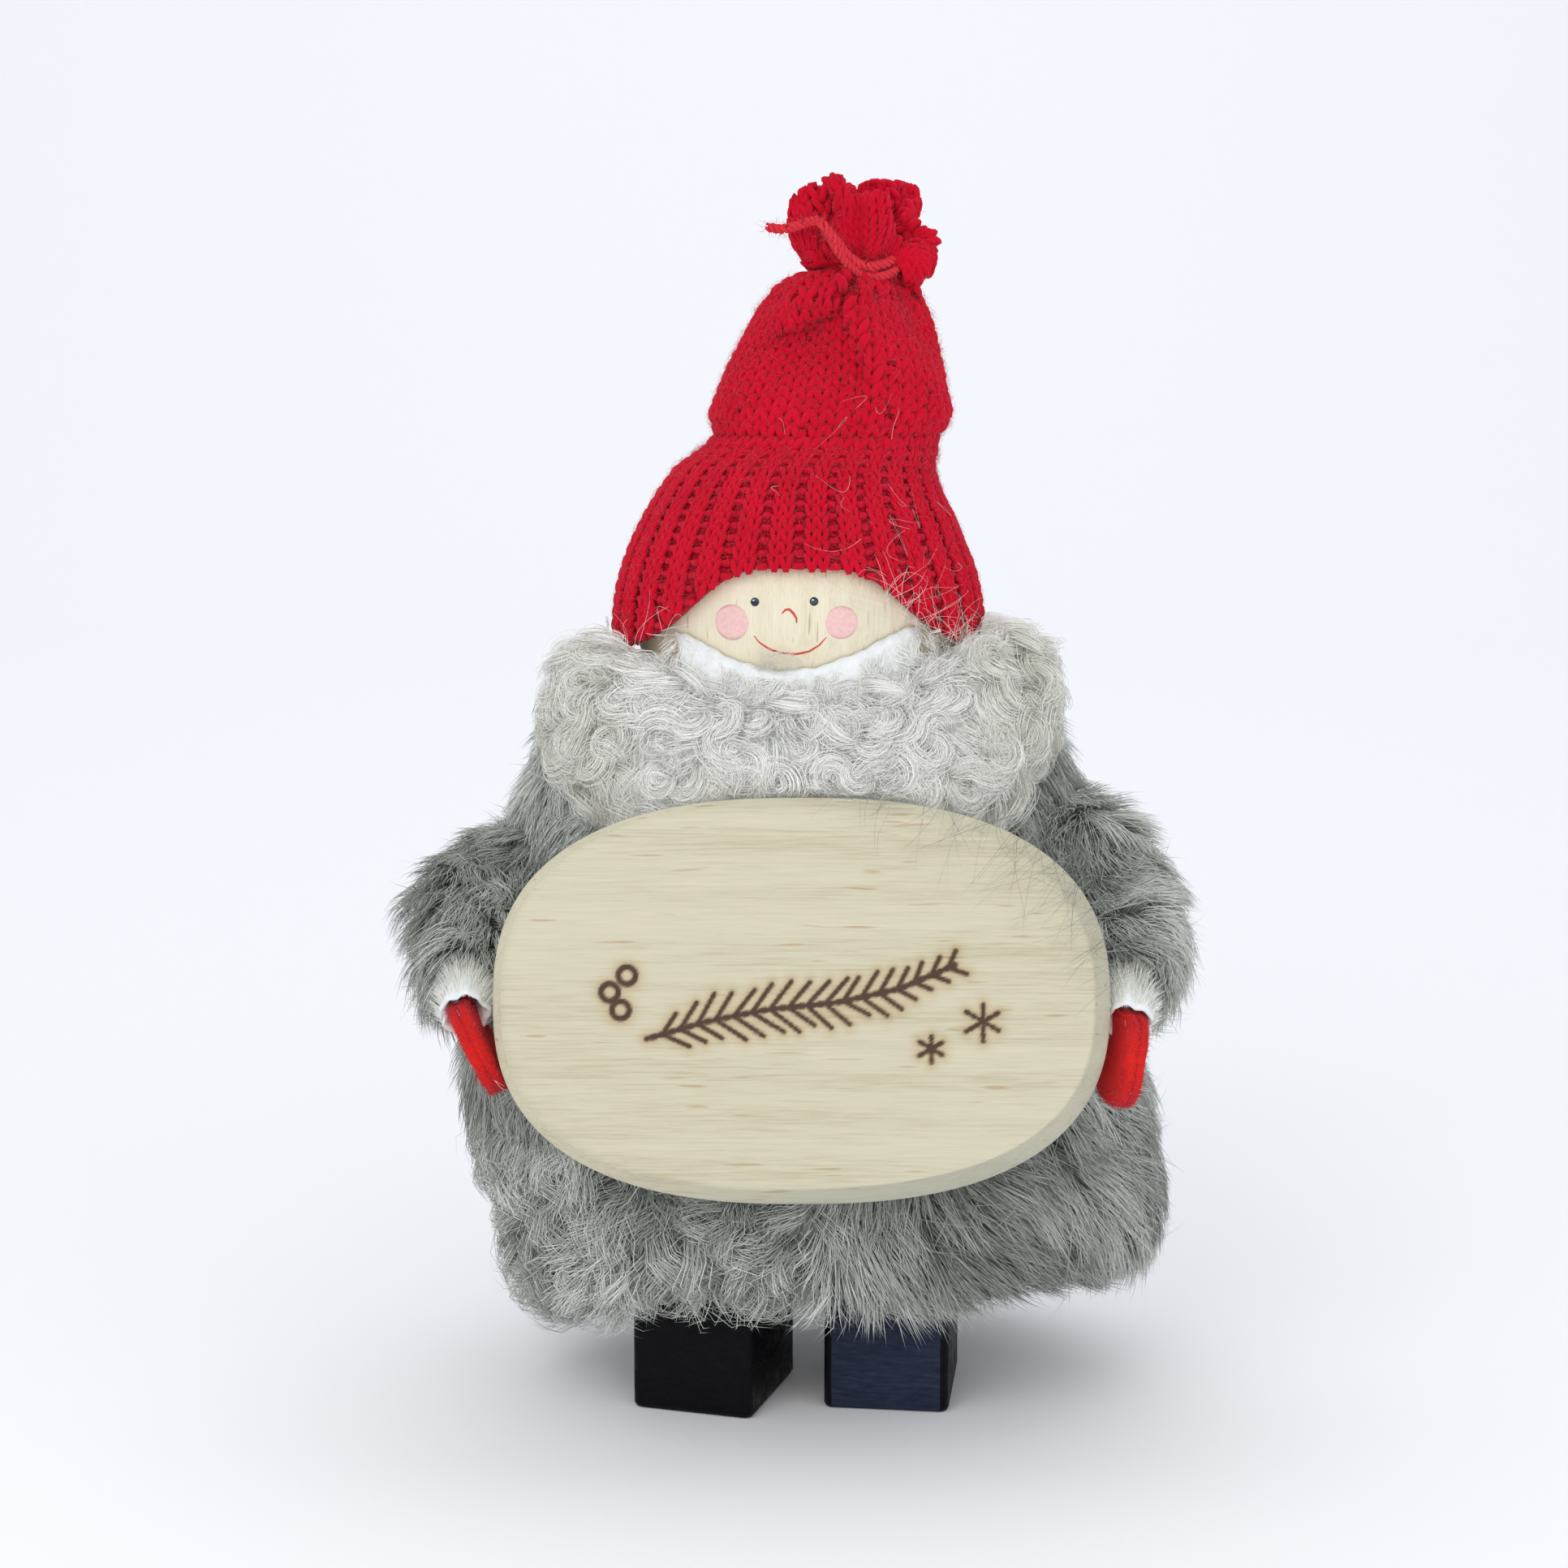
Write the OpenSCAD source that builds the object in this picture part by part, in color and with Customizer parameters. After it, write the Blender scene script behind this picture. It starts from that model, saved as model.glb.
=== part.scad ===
// Tomte figurine: a birch ball head on a turned pine core with two painted leg blocks,
// dressed in a fur coat with wired sleeves, a curly beard and a knitted hat,
// and holding an oval birch sign between red felt mittens.
// Front is -Y. Left and right are as seen from the front.

/* [Figure] */
// Height of the head ball's centre above the floor
head_z = 150; // [148:1:153]
// Radius of the birch head ball
head_r = 31; // [30:0.5:31]
// Height of the two leg blocks, up to the core's underside
leg_h = 34; // [30:1:36]
// Width of a leg block
leg_w = 23.5; // [20:0.5:24]
// Depth of a leg block
leg_d = 28; // [24:1:30]
// Turn of the left leg block, toes outward
left_toe = 17; // [8:1:18]
// Turn of the right leg block
right_toe = 7; // [0:1:10]

/* [Core and dowels] */
// Radius of the turned core at its foot
core_foot_r = 33; // [30:1:34]
// Radius of the turned core at the neck
core_neck_r = 21; // [18:1:22]
// Diameter of the neck dowel
neck_dowel_d = 8; // [6:1:10]
// Diameter of each leg dowel
leg_dowel_d = 6; // [5:1:8]
// Diameter of the steel arm wire
wire_d = 2; // [1.5:0.25:2.5]

/* [Sign] */
// Width of the oval sign
sign_w = 108; // [104:1:110]
// Height of the oval sign, along its own face
sign_h = 71; // [66:1:72]
// Thickness of the sign
sign_t = 8; // [6:0.5:9]
// Width of the chamfer round the sign's front
sign_chamfer = 3.2; // [1:0.2:3.6]
// Squareness of the sign's outline, 2 for a plain ellipse
sign_power = 2.5; // [2:0.1:3]
// Backward lean of the sign
sign_lean = 10; // [6:1:12]

/* [Mittens] */
// Length of a felt mitten
mitten_l = 19; // [16:1:20]
// Width of a felt mitten
mitten_w = 13; // [10:1:14]
// Thickness of one felt layer
felt_t = 2.2; // [1.8:0.1:2.4]

/* [Hat] */
// Thickness of the knitted fabric
knit_t = 2.2; // [1.8:0.1:2.4]
// Height of the brim's edge at the sides
brim_side_z = 141; // [141:0.5:143]
// Rise of the brim over the face
brim_arch = 17; // [12:1:18]
// Number of folds in the tuft above the tie
tuft_folds = 7; // [5:1:9]

/* [Hidden] */

$fn = 64;
axis_y = 4;                 // the core's axis stands behind the middle of the footprint
gap = 0.3;                  // between soft pieces
glue = 0.05;                // radial glue gap round a dowel or the wire
eps = 0.5;                  // overrun of a cut

head_flat = 2.5;            // flat turned on the ball's underside
core_top = head_z - head_r + head_flat;
core_h = core_top - leg_h;
neck_dowel_l = 28;
neck_depth = 13.5;          // how far the neck dowel sits in the core
leg_dowel_l = 24;
leg_depth = 11.5;           // how far a leg dowel sits in its block
bore_slack = 0.5;           // a bore is this much deeper than its dowel
wire_z = 103;               // height of the arm wire through the core

left_leg_at = [-16, -12.5];
right_leg_at = [18, -10.5];

hat_sides = 32;
coat_sides = 36;
sleeve_sides = 16;
sign_sides = 88;

sign_at = [0.4, -52.5, 85]; // middle of the sign's front face

// Sleeve stations: place on the arm's line and radius of the fur there, on the right side.
arm_line = [
    [33, 2, 103.5, 11], [45, 0, 102.5, 14.5], [56, -4, 98, 16], [60.5, -12, 92.5, 13.5],
    [61, -22, 88, 12], [60.6, -31, 85.5, 9.5], [60.2, -37, 84, 7],
];

// Beard stations, from the left shoulder round under the chin to the right shoulder.
beard_line = [
    [-40, 0, 129, 8], [-40, -13, 125, 12.5], [-30, -25, 123, 16], [-12, -33, 118, 16.5],
    [12, -33, 118, 16.5], [30, -25, 124, 16], [39, -13, 127, 13], [39, 0, 131, 8],
];

// Coat sections: height, middle in x, half width, depth to the front and to the back.
coat_sections = [
    [15, 2, 42, 36, 36], [20, 3.5, 53, 42, 44], [28, 4.5, 60, 45.5, 48],
    [42, 4, 60.5, 45.5, 50], [58, 3, 58.5, 43, 51], [74, 2, 55.5, 40, 51],
    [90, 1, 52.5, 37, 50], [106, 0.5, 50, 34, 48], [118, 0, 47, 33, 45],
    [128, 0, 43, 33, 42], [134, 0, 39, 33, 38.5], [137, 0, 35.5, 31, 35.5],
];

// Hat sections: height, middle in x, half width and half depth, from the dome to the tie.
hat_sections = [
    [160, 0, 33, 33], [166, 0.4, 30, 30], [172, 1.3, 26, 26], [177, 2.6, 22.6, 22],
    [181, 4, 21.4, 19], [186, 6, 21.6, 17.5], [193, 7, 19.8, 15.5], [200, 8, 17.4, 13.5],
    [205, 9, 14.8, 11.5], [209, 10.3, 11.2, 9], [210.8, 12, 4.6, 4.6],
];
tie_at = [12, 0, 213];
tie_r = 4.6;
yarn_r = 1.1;

function ease(t) = t * t * (3 - 2 * t);
function mean_point(points) = [for (k = [0:2]) [for (p = points) p[k]] * [for (p = points) 1] / len(points)];
function oval(x, a, front, back, z, sides) = [
    for (i = [0:sides - 1])
        let (t = 360 * i / sides, depth = sin(t) < 0 ? front : back)
            [x + a * cos(t), depth * sin(t), z]
];
function superellipse(a, b, power, sides) = [
    for (i = [0:sides - 1])
        let (t = 360 * i / sides, c = cos(t), s = sin(t))
            [a * sign(c) * pow(abs(c), 2 / power), b * sign(s) * pow(abs(s), 2 / power)]
];
// How far round from the front a point at angle t is, from 0 to 180.
function from_front(t) = let (u = abs(((t + 90 + 180) % 360) - 180)) u;
function brim_z(t) = brim_side_z - 4 * ease(max(0, from_front(t) - 90) / 90)
    + brim_arch / (1 + pow(from_front(t) / 40, 4));
// Outer radius of the hat's ribbed dome below its first full section.
function brim_radius(z) = 33 + 2.4 * pow(max(0, 160 - z) / 19, 0.7);
function unit(v) = v / norm(v);

// A closed skin through a list of rings that all have the same number of points.
module loft(rings) {
    n = len(rings[0]);
    m = len(rings);
    low = m * n;
    high = low + 1;
    points = concat([for (r = rings) each r], [mean_point(rings[0]), mean_point(rings[m - 1])]);
    sides = [
        for (k = [0:m - 2], i = [0:n - 1])
            let (a = k * n + i, b = k * n + (i + 1) % n)
                each [[a, a + n, b + n], [a, b + n, b]]
    ];
    ends = [
        for (i = [0:n - 1])
            let (j = (i + 1) % n, last = (m - 1) * n)
                each [[low, i, j], [high, last + j, last + i]]
    ];
    polyhedron(points, concat(sides, ends));
}

// A round tube along stations of [x, y, z, radius].
module tube(stations, sides, grow = 0) {
    m = len(stations);
    places = [for (s = stations) [s[0], s[1], s[2]]];
    rings = [
        for (k = [0:m - 1])
            let (
                along = unit(places[min(k + 1, m - 1)] - places[max(k - 1, 0)]),
                across = unit(cross([0, 0, 1], along)),
                up = cross(along, across),
                r = stations[k][3] + grow
            )
                [for (i = [0:sides - 1]) let (t = 360 * i / sides) places[k] + r * (cos(t) * across + sin(t) * up)]
    ];
    loft(rings);
}

// Free-form soft pieces are kept as one mesh.
module soft() {
    resize([0, 0, 0]) children();
}

module on_axis() {
    translate([0, axis_y, 0]) children();
}

module ball(grow = 0, fn = 64) {
    translate([0, 0, head_z]) sphere(r = head_r + grow, $fn = fn);
}

// ---- legs, core and head ----

// A block with its four upright edges eased.
module leg_shape(at, turn, grow = 0) {
    w = leg_w / 2 + grow;
    d = leg_d / 2 + grow;
    e = 1;
    translate([at[0], at[1], 0]) rotate([0, 0, -turn])
        linear_extrude(leg_h)
            polygon([
                [-w + e, -d], [w - e, -d], [w, -d + e], [w, d - e],
                [w - e, d], [-w + e, d], [-w, d - e], [-w, -d + e],
            ]);
}

module leg_block(at, turn) {
    color("#20212b")
        difference() {
            leg_shape(at, turn);
            leg_bore(at);
        }
}

module leg_bore(at) {
    depth = leg_dowel_l + 2 * bore_slack;
    translate([at[0], at[1] + leg_bore_back, leg_h - leg_depth - bore_slack])
        cylinder(d = leg_dowel_d + 2 * glue, h = depth);
}
leg_bore_back = 2;          // a leg dowel stands behind the middle of its block

module leg_dowel(at) {
    color("#d9bf8f")
        translate([at[0], at[1] + leg_bore_back, leg_h - leg_depth])
            cylinder(d = leg_dowel_d, h = leg_dowel_l);
}

module neck_bore() {
    depth = neck_dowel_l + 2 * bore_slack;
    translate([0, 0, core_top - neck_depth - bore_slack])
        cylinder(d = neck_dowel_d + 2 * glue, h = depth);
}

module body_core() {
    edge = 2;
    color("#cfae7c")
        difference() {
            translate([0, 0, leg_h])
                rotate_extrude()
                    polygon([
                        [0, 0], [core_foot_r - edge, 0], [core_foot_r, edge],
                        [core_neck_r + 1, core_h - edge], [core_neck_r - 1, core_h], [0, core_h],
                    ]);
            neck_bore();
            leg_bore(left_leg_at);
            leg_bore(right_leg_at);
            translate([0, arm_line[0][1], wire_z]) rotate([0, 90, 0])
                cylinder(d = wire_d + 2 * glue, h = 2 * core_foot_r, center = true);
        }
}

module neck_dowel() {
    color("#d9bf8f")
        translate([0, 0, core_top - neck_depth]) cylinder(d = neck_dowel_d, h = neck_dowel_l);
}

module head_ball() {
    color("#e6d8b4")
        difference() {
            ball();
            translate([0, 0, core_top - head_r]) cylinder(r = head_r, h = head_r);
            neck_bore();
        }
}

// ---- arms ----

// The middle line of one arm, at side -1 or 1, with the straight end that lies in the mitten.
function arm_points(side) = concat(
    [[0, arm_line[0][1], wire_z], [side * 30, arm_line[0][1], wire_z]],
    [for (k = [1:len(arm_line) - 1]) [side * arm_line[k][0], arm_line[k][1], arm_line[k][2]]],
    [hand_place(side, mitten_l / 2), hand_place(side, -2)]
);

module rod(a, b, r, fn = 24) {
    d = b - a;
    translate(a) rotate([0, acos(d[2] / norm(d)), atan2(d[1], d[0])]) cylinder(r = r, h = norm(d), $fn = fn);
}

// The wire from the core out to one mitten, with a slightly fuller bead at each bend.
module wire_run(side, r, fn = 24) {
    points = arm_points(side);
    bead = 0.1;
    for (k = [0:len(points) - 2]) rod(points[k], points[k + 1], r, fn);
    for (k = [1:len(points) - 2]) translate(points[k]) sphere(r = r + bead, $fn = fn);
}

module arm_wire() {
    color("#8d9196")
        union() {
            wire_run(-1, wire_d / 2);
            wire_run(1, wire_d / 2);
        }
}

// ---- mittens ----

// Middle of each mitten, and how it is turned about the upright and tilted sideways.
function mitten_at(side) = side < 0 ? [-56.6, -45, 75.3] : [56.9, -44.5, 73];
function mitten_yaw(side) = side < 0 ? 0 : 20;
function mitten_tilt(side) = side < 0 ? 26 : 8;
// A point on the mitten's own long line, up from its middle.
function hand_place(side, up) =
    mitten_at(side) + up * [side * sin(mitten_tilt(side)), 0, cos(mitten_tilt(side))];

module mitten_frame(side) {
    translate(mitten_at(side))
        rotate([0, side * mitten_tilt(side), 0])
            rotate([0, 0, side * mitten_yaw(side)])
                children();
}

// One felt layer, standing in the mitten's own YZ plane, on the inner or outer side.
module mitten_layer(side, outer) {
    corner = mitten_w / 2 - 0.5;
    color("#c4161c")
        difference() {
            mitten_frame(side)
                translate([outer ? 0 : -side * felt_t, 0, 0])
                    rotate([90, 0, side * 90])
                        linear_extrude(felt_t)
                            union() {
                                translate([0, mitten_w / 2 - mitten_l / 2]) circle(r = mitten_w / 2);
                                translate([-corner, 2 - mitten_l / 2 + corner]) square([2 * corner, mitten_l - corner - 2]);
                            }
            rod(hand_place(side, -2 - bore_slack), hand_place(side, mitten_l), wire_d / 2 + glue);
        }
}

// ---- sign ----

module sign_frame() {
    translate(sign_at) rotate([90 - sign_lean, 0, 0]) children();
}

module sign_body(grow = 0) {
    step = sign_chamfer;
    back = 1;
    levels = [
        [-sign_t - grow, back - grow], [-sign_t + back - grow, -grow],
        [-step + grow, -grow], [grow, step - grow],
    ];
    loft([
        for (l = levels)
            [
                for (p = superellipse(sign_w / 2 - l[1], sign_h / 2 - l[1], sign_power, sign_sides))
                    [p[0], p[1], l[0]]
            ]
    ]);
}

module oval_sign() {
    color("#e0cfa6") sign_frame() sign_body();
}

// ---- fur ----

module sleeve_fur(side, grow = 0) {
    stations = [for (s = arm_line) [side * s[0], s[1], s[2], s[3]]];
    tube(stations, sleeve_sides, grow);
}

module fur_sleeve(side) {
    color("#8b8d88") soft()
        difference() {
            sleeve_fur(side);
            wire_run(side, wire_d / 2 + 0.1, 12);
            ball(gap, 48);
            core_space();
            sign_frame() sign_body(gap);
            beard_fur(gap);
        }
}

module beard_fur(grow = 0) {
    tube(beard_line, sleeve_sides + 4, grow);
}

module curly_beard() {
    color("#d4d6d0") soft()
        difference() {
            beard_fur();
            ball(gap, 48);
            core_space();
            sign_frame() sign_body(gap);
            translate([0, 0, brim_side_z - 4 - gap]) cylinder(r = brim_radius(140) + gap, h = 40, $fn = 48);
        }
}

// The room that the coat leaves for the core.
module core_space() {
    translate([0, 0, leg_h - eps])
        cylinder(r1 = core_foot_r + 1, r2 = core_neck_r + 1.5, h = core_h + 2 * eps, $fn = 48);
}

module fur_coat() {
    hem_r = 35.5;
    leg_room = 0.8;
    color("#8a8c88") soft()
        difference() {
            loft([for (s = coat_sections) oval(s[1], s[2], s[3], s[4], s[0], coat_sides)]);
            core_space();
            translate([0, 0, -eps]) cylinder(r = hem_r, h = leg_h + 2 * eps, $fn = 48);
            leg_shape(left_leg_at, left_toe, leg_room);
            leg_shape(right_leg_at, right_toe, leg_room);
            ball(gap, 48);
            sleeve_fur(-1, gap);
            sleeve_fur(1, gap);
            wire_run(-1, wire_d / 2 + 0.1, 12);
            wire_run(1, wire_d / 2 + 0.1, 12);
            beard_fur(gap);
            sign_frame() sign_body(gap);
        }
}

// ---- hat ----

brim_steps = 5;
function hat_ring(s, inset) = oval(s[1], s[2] - inset, s[3] - inset, s[3] - inset, s[0], hat_sides);
// Rings between the arched brim and the first full section; the inside never pinches the ball.
function brim_rings(inset) = [
    for (k = [0:brim_steps - 1])
        [
            for (i = [0:hat_sides - 1])
                let (
                    t = 360 * i / hat_sides,
                    z = brim_z(t) + (hat_sections[0][0] - brim_z(t)) * k / brim_steps,
                    outer = brim_radius(z),
                    r = inset > 0 ? max(head_r + 0.5, outer - inset - 0.6) : outer
                )
                    [r * cos(t), r * sin(t), z]
        ]
];
// The tuft above the tie: a frilled cup with [height, radius, depth of the folds].
tuft_levels = [
    [215.3, 4.6, 0], [218, 8, 0.1], [222, 11.6, 0.18], [226, 12.6, 0.24],
    [227, 10.6, 0.24], [222, 6.5, 0.15], [219, 2.5, 0],
];
function tuft_ring(l) = [
    for (i = [0:hat_sides - 1])
        let (t = 360 * i / hat_sides, wave = sin(tuft_folds * t + 40))
            [
                tie_at[0] + l[1] * (1 + l[2] * wave) * cos(t),
                l[1] * 0.9 * (1 + l[2] * wave) * sin(t),
                l[0] + 8 * l[2] * sin(2 * t + 70),
            ]
];

module knitted_hat() {
    top = len(hat_sections) - 1;
    inside = [for (k = [top - 2:-1:0]) hat_ring(hat_sections[k], knit_t)];
    brim_in = brim_rings(knit_t);
    color("#b5122a")
        loft(concat(
            inside,
            [for (k = [brim_steps - 1:-1:0]) brim_in[k]],
            brim_rings(0),
            [for (s = hat_sections) hat_ring(s, 0)],
            [for (l = tuft_levels) tuft_ring(l)]
        ));
}

module hat_wadding() {
    last = len(hat_sections) - 3;
    color("#f1efe8") soft()
        difference() {
            loft([for (k = [2:last]) let (s = hat_sections[k], lift = k == last ? -gap : 0)
                hat_ring([s[0] + lift, s[1], s[2], s[3]], knit_t + 2 * gap)]);
            ball(2 * gap, 48);
        }
}

// Two turns of yarn, the knot at the left and one loose tail.
module hat_tie_yarn() {
    ring_r = tie_r + yarn_r + 0.15;
    knot_r = 1.9;
    knot_at = [tie_at[0] - ring_r - 0.9, 0.4, tie_at[2]];
    tail_l = 13.5;
    color("#c8283f") soft()
        union() {
            translate(tie_at)
                rotate_extrude($fn = 32)
                    for (turn = [-0.5, 0.5])
                        translate([ring_r, turn * 1.7 * yarn_r]) circle(r = yarn_r, $fn = 14);
            translate(knot_at) sphere(r = knot_r, $fn = 14);
            translate(knot_at) rotate([0, -62, 0]) cylinder(r = yarn_r * 0.8, h = tail_l, $fn = 14);
        }
}

on_axis() leg_block(left_leg_at, left_toe);  // left_leg_block
on_axis() leg_block(right_leg_at, right_toe);  // right_leg_block
on_axis() leg_dowel(left_leg_at);  // left_leg_dowel
on_axis() leg_dowel(right_leg_at);  // right_leg_dowel
on_axis() body_core();
on_axis() neck_dowel();
on_axis() head_ball();
on_axis() arm_wire();
on_axis() fur_coat();
on_axis() fur_sleeve(-1);  // left_fur_sleeve
on_axis() fur_sleeve(1);  // right_fur_sleeve
on_axis() curly_beard();
on_axis() mitten_layer(-1, false);  // left_mitten_palm
on_axis() mitten_layer(-1, true);  // left_mitten_back
on_axis() mitten_layer(1, false);  // right_mitten_palm
on_axis() mitten_layer(1, true);  // right_mitten_back
on_axis() oval_sign();
on_axis() knitted_hat();
on_axis() hat_tie_yarn();
on_axis() hat_wadding();
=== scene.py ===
"""Looks of the tomte figurine: fur, beard, knitted hat, birch face and sign, felt mittens and painted feet.

Lengths are in millimetres until a piece is made. The front is -Y, and left is -X.
"""

import math

import bpy
import numpy as np
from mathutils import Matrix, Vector, kdtree


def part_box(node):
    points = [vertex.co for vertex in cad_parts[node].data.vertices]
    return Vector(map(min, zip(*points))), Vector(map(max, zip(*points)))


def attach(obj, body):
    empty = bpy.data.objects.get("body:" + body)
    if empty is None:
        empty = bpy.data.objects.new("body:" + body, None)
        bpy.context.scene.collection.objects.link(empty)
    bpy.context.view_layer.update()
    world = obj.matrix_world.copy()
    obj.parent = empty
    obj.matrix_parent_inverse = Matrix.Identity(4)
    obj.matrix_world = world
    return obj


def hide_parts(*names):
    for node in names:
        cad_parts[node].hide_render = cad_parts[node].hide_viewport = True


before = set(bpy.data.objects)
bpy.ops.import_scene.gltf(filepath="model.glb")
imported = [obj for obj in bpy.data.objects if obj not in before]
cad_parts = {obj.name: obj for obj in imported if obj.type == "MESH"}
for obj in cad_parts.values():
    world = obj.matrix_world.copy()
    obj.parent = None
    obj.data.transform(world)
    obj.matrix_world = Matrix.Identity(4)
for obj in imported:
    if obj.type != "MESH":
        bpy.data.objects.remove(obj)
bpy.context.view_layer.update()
MM = 0.001
rng = np.random.default_rng(29)
FULL = 1.0
COAT_HAIRS = 56000
SLEEVE_HAIRS = 13000
OVERLAP_LOCKS = 90
HAIRS_PER_OVERLAP_LOCK = 46
BEARD_DOWN_HAIRS = 13000
BEARD_LOCKS = 400
HAIRS_PER_BEARD_LOCK = 54
# Small step along a skin, as a share of it, for its tangents.
SKIN_STEP = 0.004
# Triangles of a strand of five points, and how many such strands one piece may hold.
STRAND_TRIANGLES = 22
STRANDS_PER_PIECE = 7800


# ---------------------------------------------------------------- numbers from the CAD

def node_box(node):
    low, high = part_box(node)
    return np.array(low) / MM, np.array(high) / MM


BALL_LOW, BALL_HIGH = node_box("head_ball")
HEAD_R = (BALL_HIGH[0] - BALL_LOW[0]) / 2
HEAD = np.array([(BALL_LOW[0] + BALL_HIGH[0]) / 2, (BALL_LOW[1] + BALL_HIGH[1]) / 2, BALL_HIGH[2] - HEAD_R])
AXIS_Y = HEAD[1]

SIGN_LOW, SIGN_HIGH = node_box("oval_sign")
SIGN_LEAN = math.radians(10)
SIGN_T = 8.0
SIGN_W = SIGN_HIGH[0] - SIGN_LOW[0]
SIGN_H = 71.0
SIGN_POWER = 2.5
SIGN_RIGHT = np.array([1.0, 0, 0])
SIGN_UP = np.array([0, math.sin(SIGN_LEAN), math.cos(SIGN_LEAN)])
SIGN_OUT = np.array([0, -math.cos(SIGN_LEAN), math.sin(SIGN_LEAN)])
SIGN_FRONT = (SIGN_LOW + SIGN_HIGH) / 2 + SIGN_OUT * SIGN_T / 2
# Painted shade: how much darker the board's bevel and edge are made at the lower right, where less light
# falls.
BEVEL_PAINTED_SHADE = np.array([0.80, 0.83, 0.88])

BRIM_SIDE_Z = 141.0
BRIM_ARCH = 17.0
TIE = np.array([12.0, AXIS_Y, 213.0])


# ---------------------------------------------------------------- small maths

def unit(v):
    return v / np.maximum(np.linalg.norm(v, axis=-1, keepdims=True), 1e-9)


def smoothstep(t):
    t = np.clip(t, 0, 1)
    return t * t * (3 - 2 * t)


def table_curve(rows, passes=3, count=241):
    """Rows of numbers as smooth functions of 0 to 1 along the list."""
    rows = np.array(rows, float)
    step = np.linalg.norm(np.diff(rows[:, :3], axis=0), axis=1)
    at = np.concatenate([[0], np.cumsum(step)])
    at /= at[-1]
    t = np.linspace(0, 1, count)
    dense = np.stack([np.interp(t, at, c) for c in rows.T], axis=1)
    for _ in range(passes * 10):
        dense[1:-1] = (dense[:-2] + 2 * dense[1:-1] + dense[2:]) / 4
    return lambda v: np.stack([np.interp(v, t, c) for c in dense.T], axis=-1)


def waves(points, scale, seed, count=5):
    """Smooth noise from -1 to 1, made of a few plane waves about `scale` long."""
    source = np.random.default_rng(seed)
    total = np.zeros(points.shape[:-1])
    for _ in range(count):
        direction = unit(source.normal(size=3))
        pitch = scale * source.uniform(0.7, 1.5)
        total += np.sin(points @ direction * 2 * math.pi / pitch + source.uniform(0, 2 * math.pi))
    return total / math.sqrt(count) / 1.2


def surface_frame(skin, u, v):
    """Points, outward normals and the two tangents of a skin at (u, v)."""
    points = skin(u, v)
    along_u = unit(skin(u + 360 * SKIN_STEP, v) - skin(u - 360 * SKIN_STEP, v))
    along_v = unit(skin(u, v + SKIN_STEP) - skin(u, v - SKIN_STEP))
    normals = unit(np.cross(along_u, along_v))
    return points, normals, along_u, along_v


# ---------------------------------------------------------------- mesh makers

def add_piece(name, points, quads=(), tris=(), materials=(), quad_slots=None, tri_slots=None,
              body="figure", stands_for=()):
    quads = np.asarray(quads, np.int32).reshape(-1, 4)
    tris = np.asarray(tris, np.int32).reshape(-1, 3)
    mesh = bpy.data.meshes.new(name)
    mesh.vertices.add(len(points))
    mesh.vertices.foreach_set("co", (np.asarray(points, float) * MM).astype(np.float32).ravel())
    mesh.loops.add(quads.size + tris.size)
    mesh.loops.foreach_set("vertex_index", np.concatenate([quads.ravel(), tris.ravel()]))
    starts = np.concatenate([np.arange(len(quads)) * 4, quads.size + np.arange(len(tris)) * 3])
    mesh.polygons.add(len(starts))
    mesh.polygons.foreach_set("loop_start", starts.astype(np.int32))
    for material in materials:
        mesh.materials.append(material)
    if quad_slots is not None or tri_slots is not None:
        first = np.zeros(len(quads), int) if quad_slots is None else np.ravel(quad_slots)
        second = np.zeros(len(tris), int) if tri_slots is None else np.ravel(tri_slots)
        mesh.polygons.foreach_set("material_index", np.concatenate([first, second]).astype(np.int32))
    mesh.polygons.foreach_set("use_smooth", np.full(len(starts), True))
    mesh.update(calc_edges=True)
    piece = bpy.data.objects.new(name, mesh)
    bpy.context.scene.collection.objects.link(piece)
    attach(piece, body)
    if stands_for:
        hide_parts(*stands_for)
    return piece


def grid_quads(rows, columns, closed):
    """Faces of a grid of points, row by row. A closed grid joins its last column to its first."""
    r = np.arange(rows - 1)[:, None]
    c = np.arange(columns if closed else columns - 1)[None, :]
    n = (c + 1) % columns
    return np.stack([r * columns + c, r * columns + n, (r + 1) * columns + n, (r + 1) * columns + c],
                    axis=-1).reshape(-1, 4)


def capped_skin(points):
    """A closed mesh from rings (rows, columns, 3), with a fan over each end."""
    rows, columns = points.shape[:2]
    quads = grid_quads(rows, columns, True)
    low, high = rows * columns, rows * columns + 1
    c = np.arange(columns)
    n = (c + 1) % columns
    bottom = np.stack([n, c, np.full(columns, low)], axis=-1)
    top = np.stack([(rows - 1) * columns + c, (rows - 1) * columns + n, np.full(columns, high)], axis=-1)
    flat = np.concatenate([points.reshape(-1, 3), [points[0].mean(0)], [points[-1].mean(0)]])
    return flat, quads, np.concatenate([bottom, top])


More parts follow.
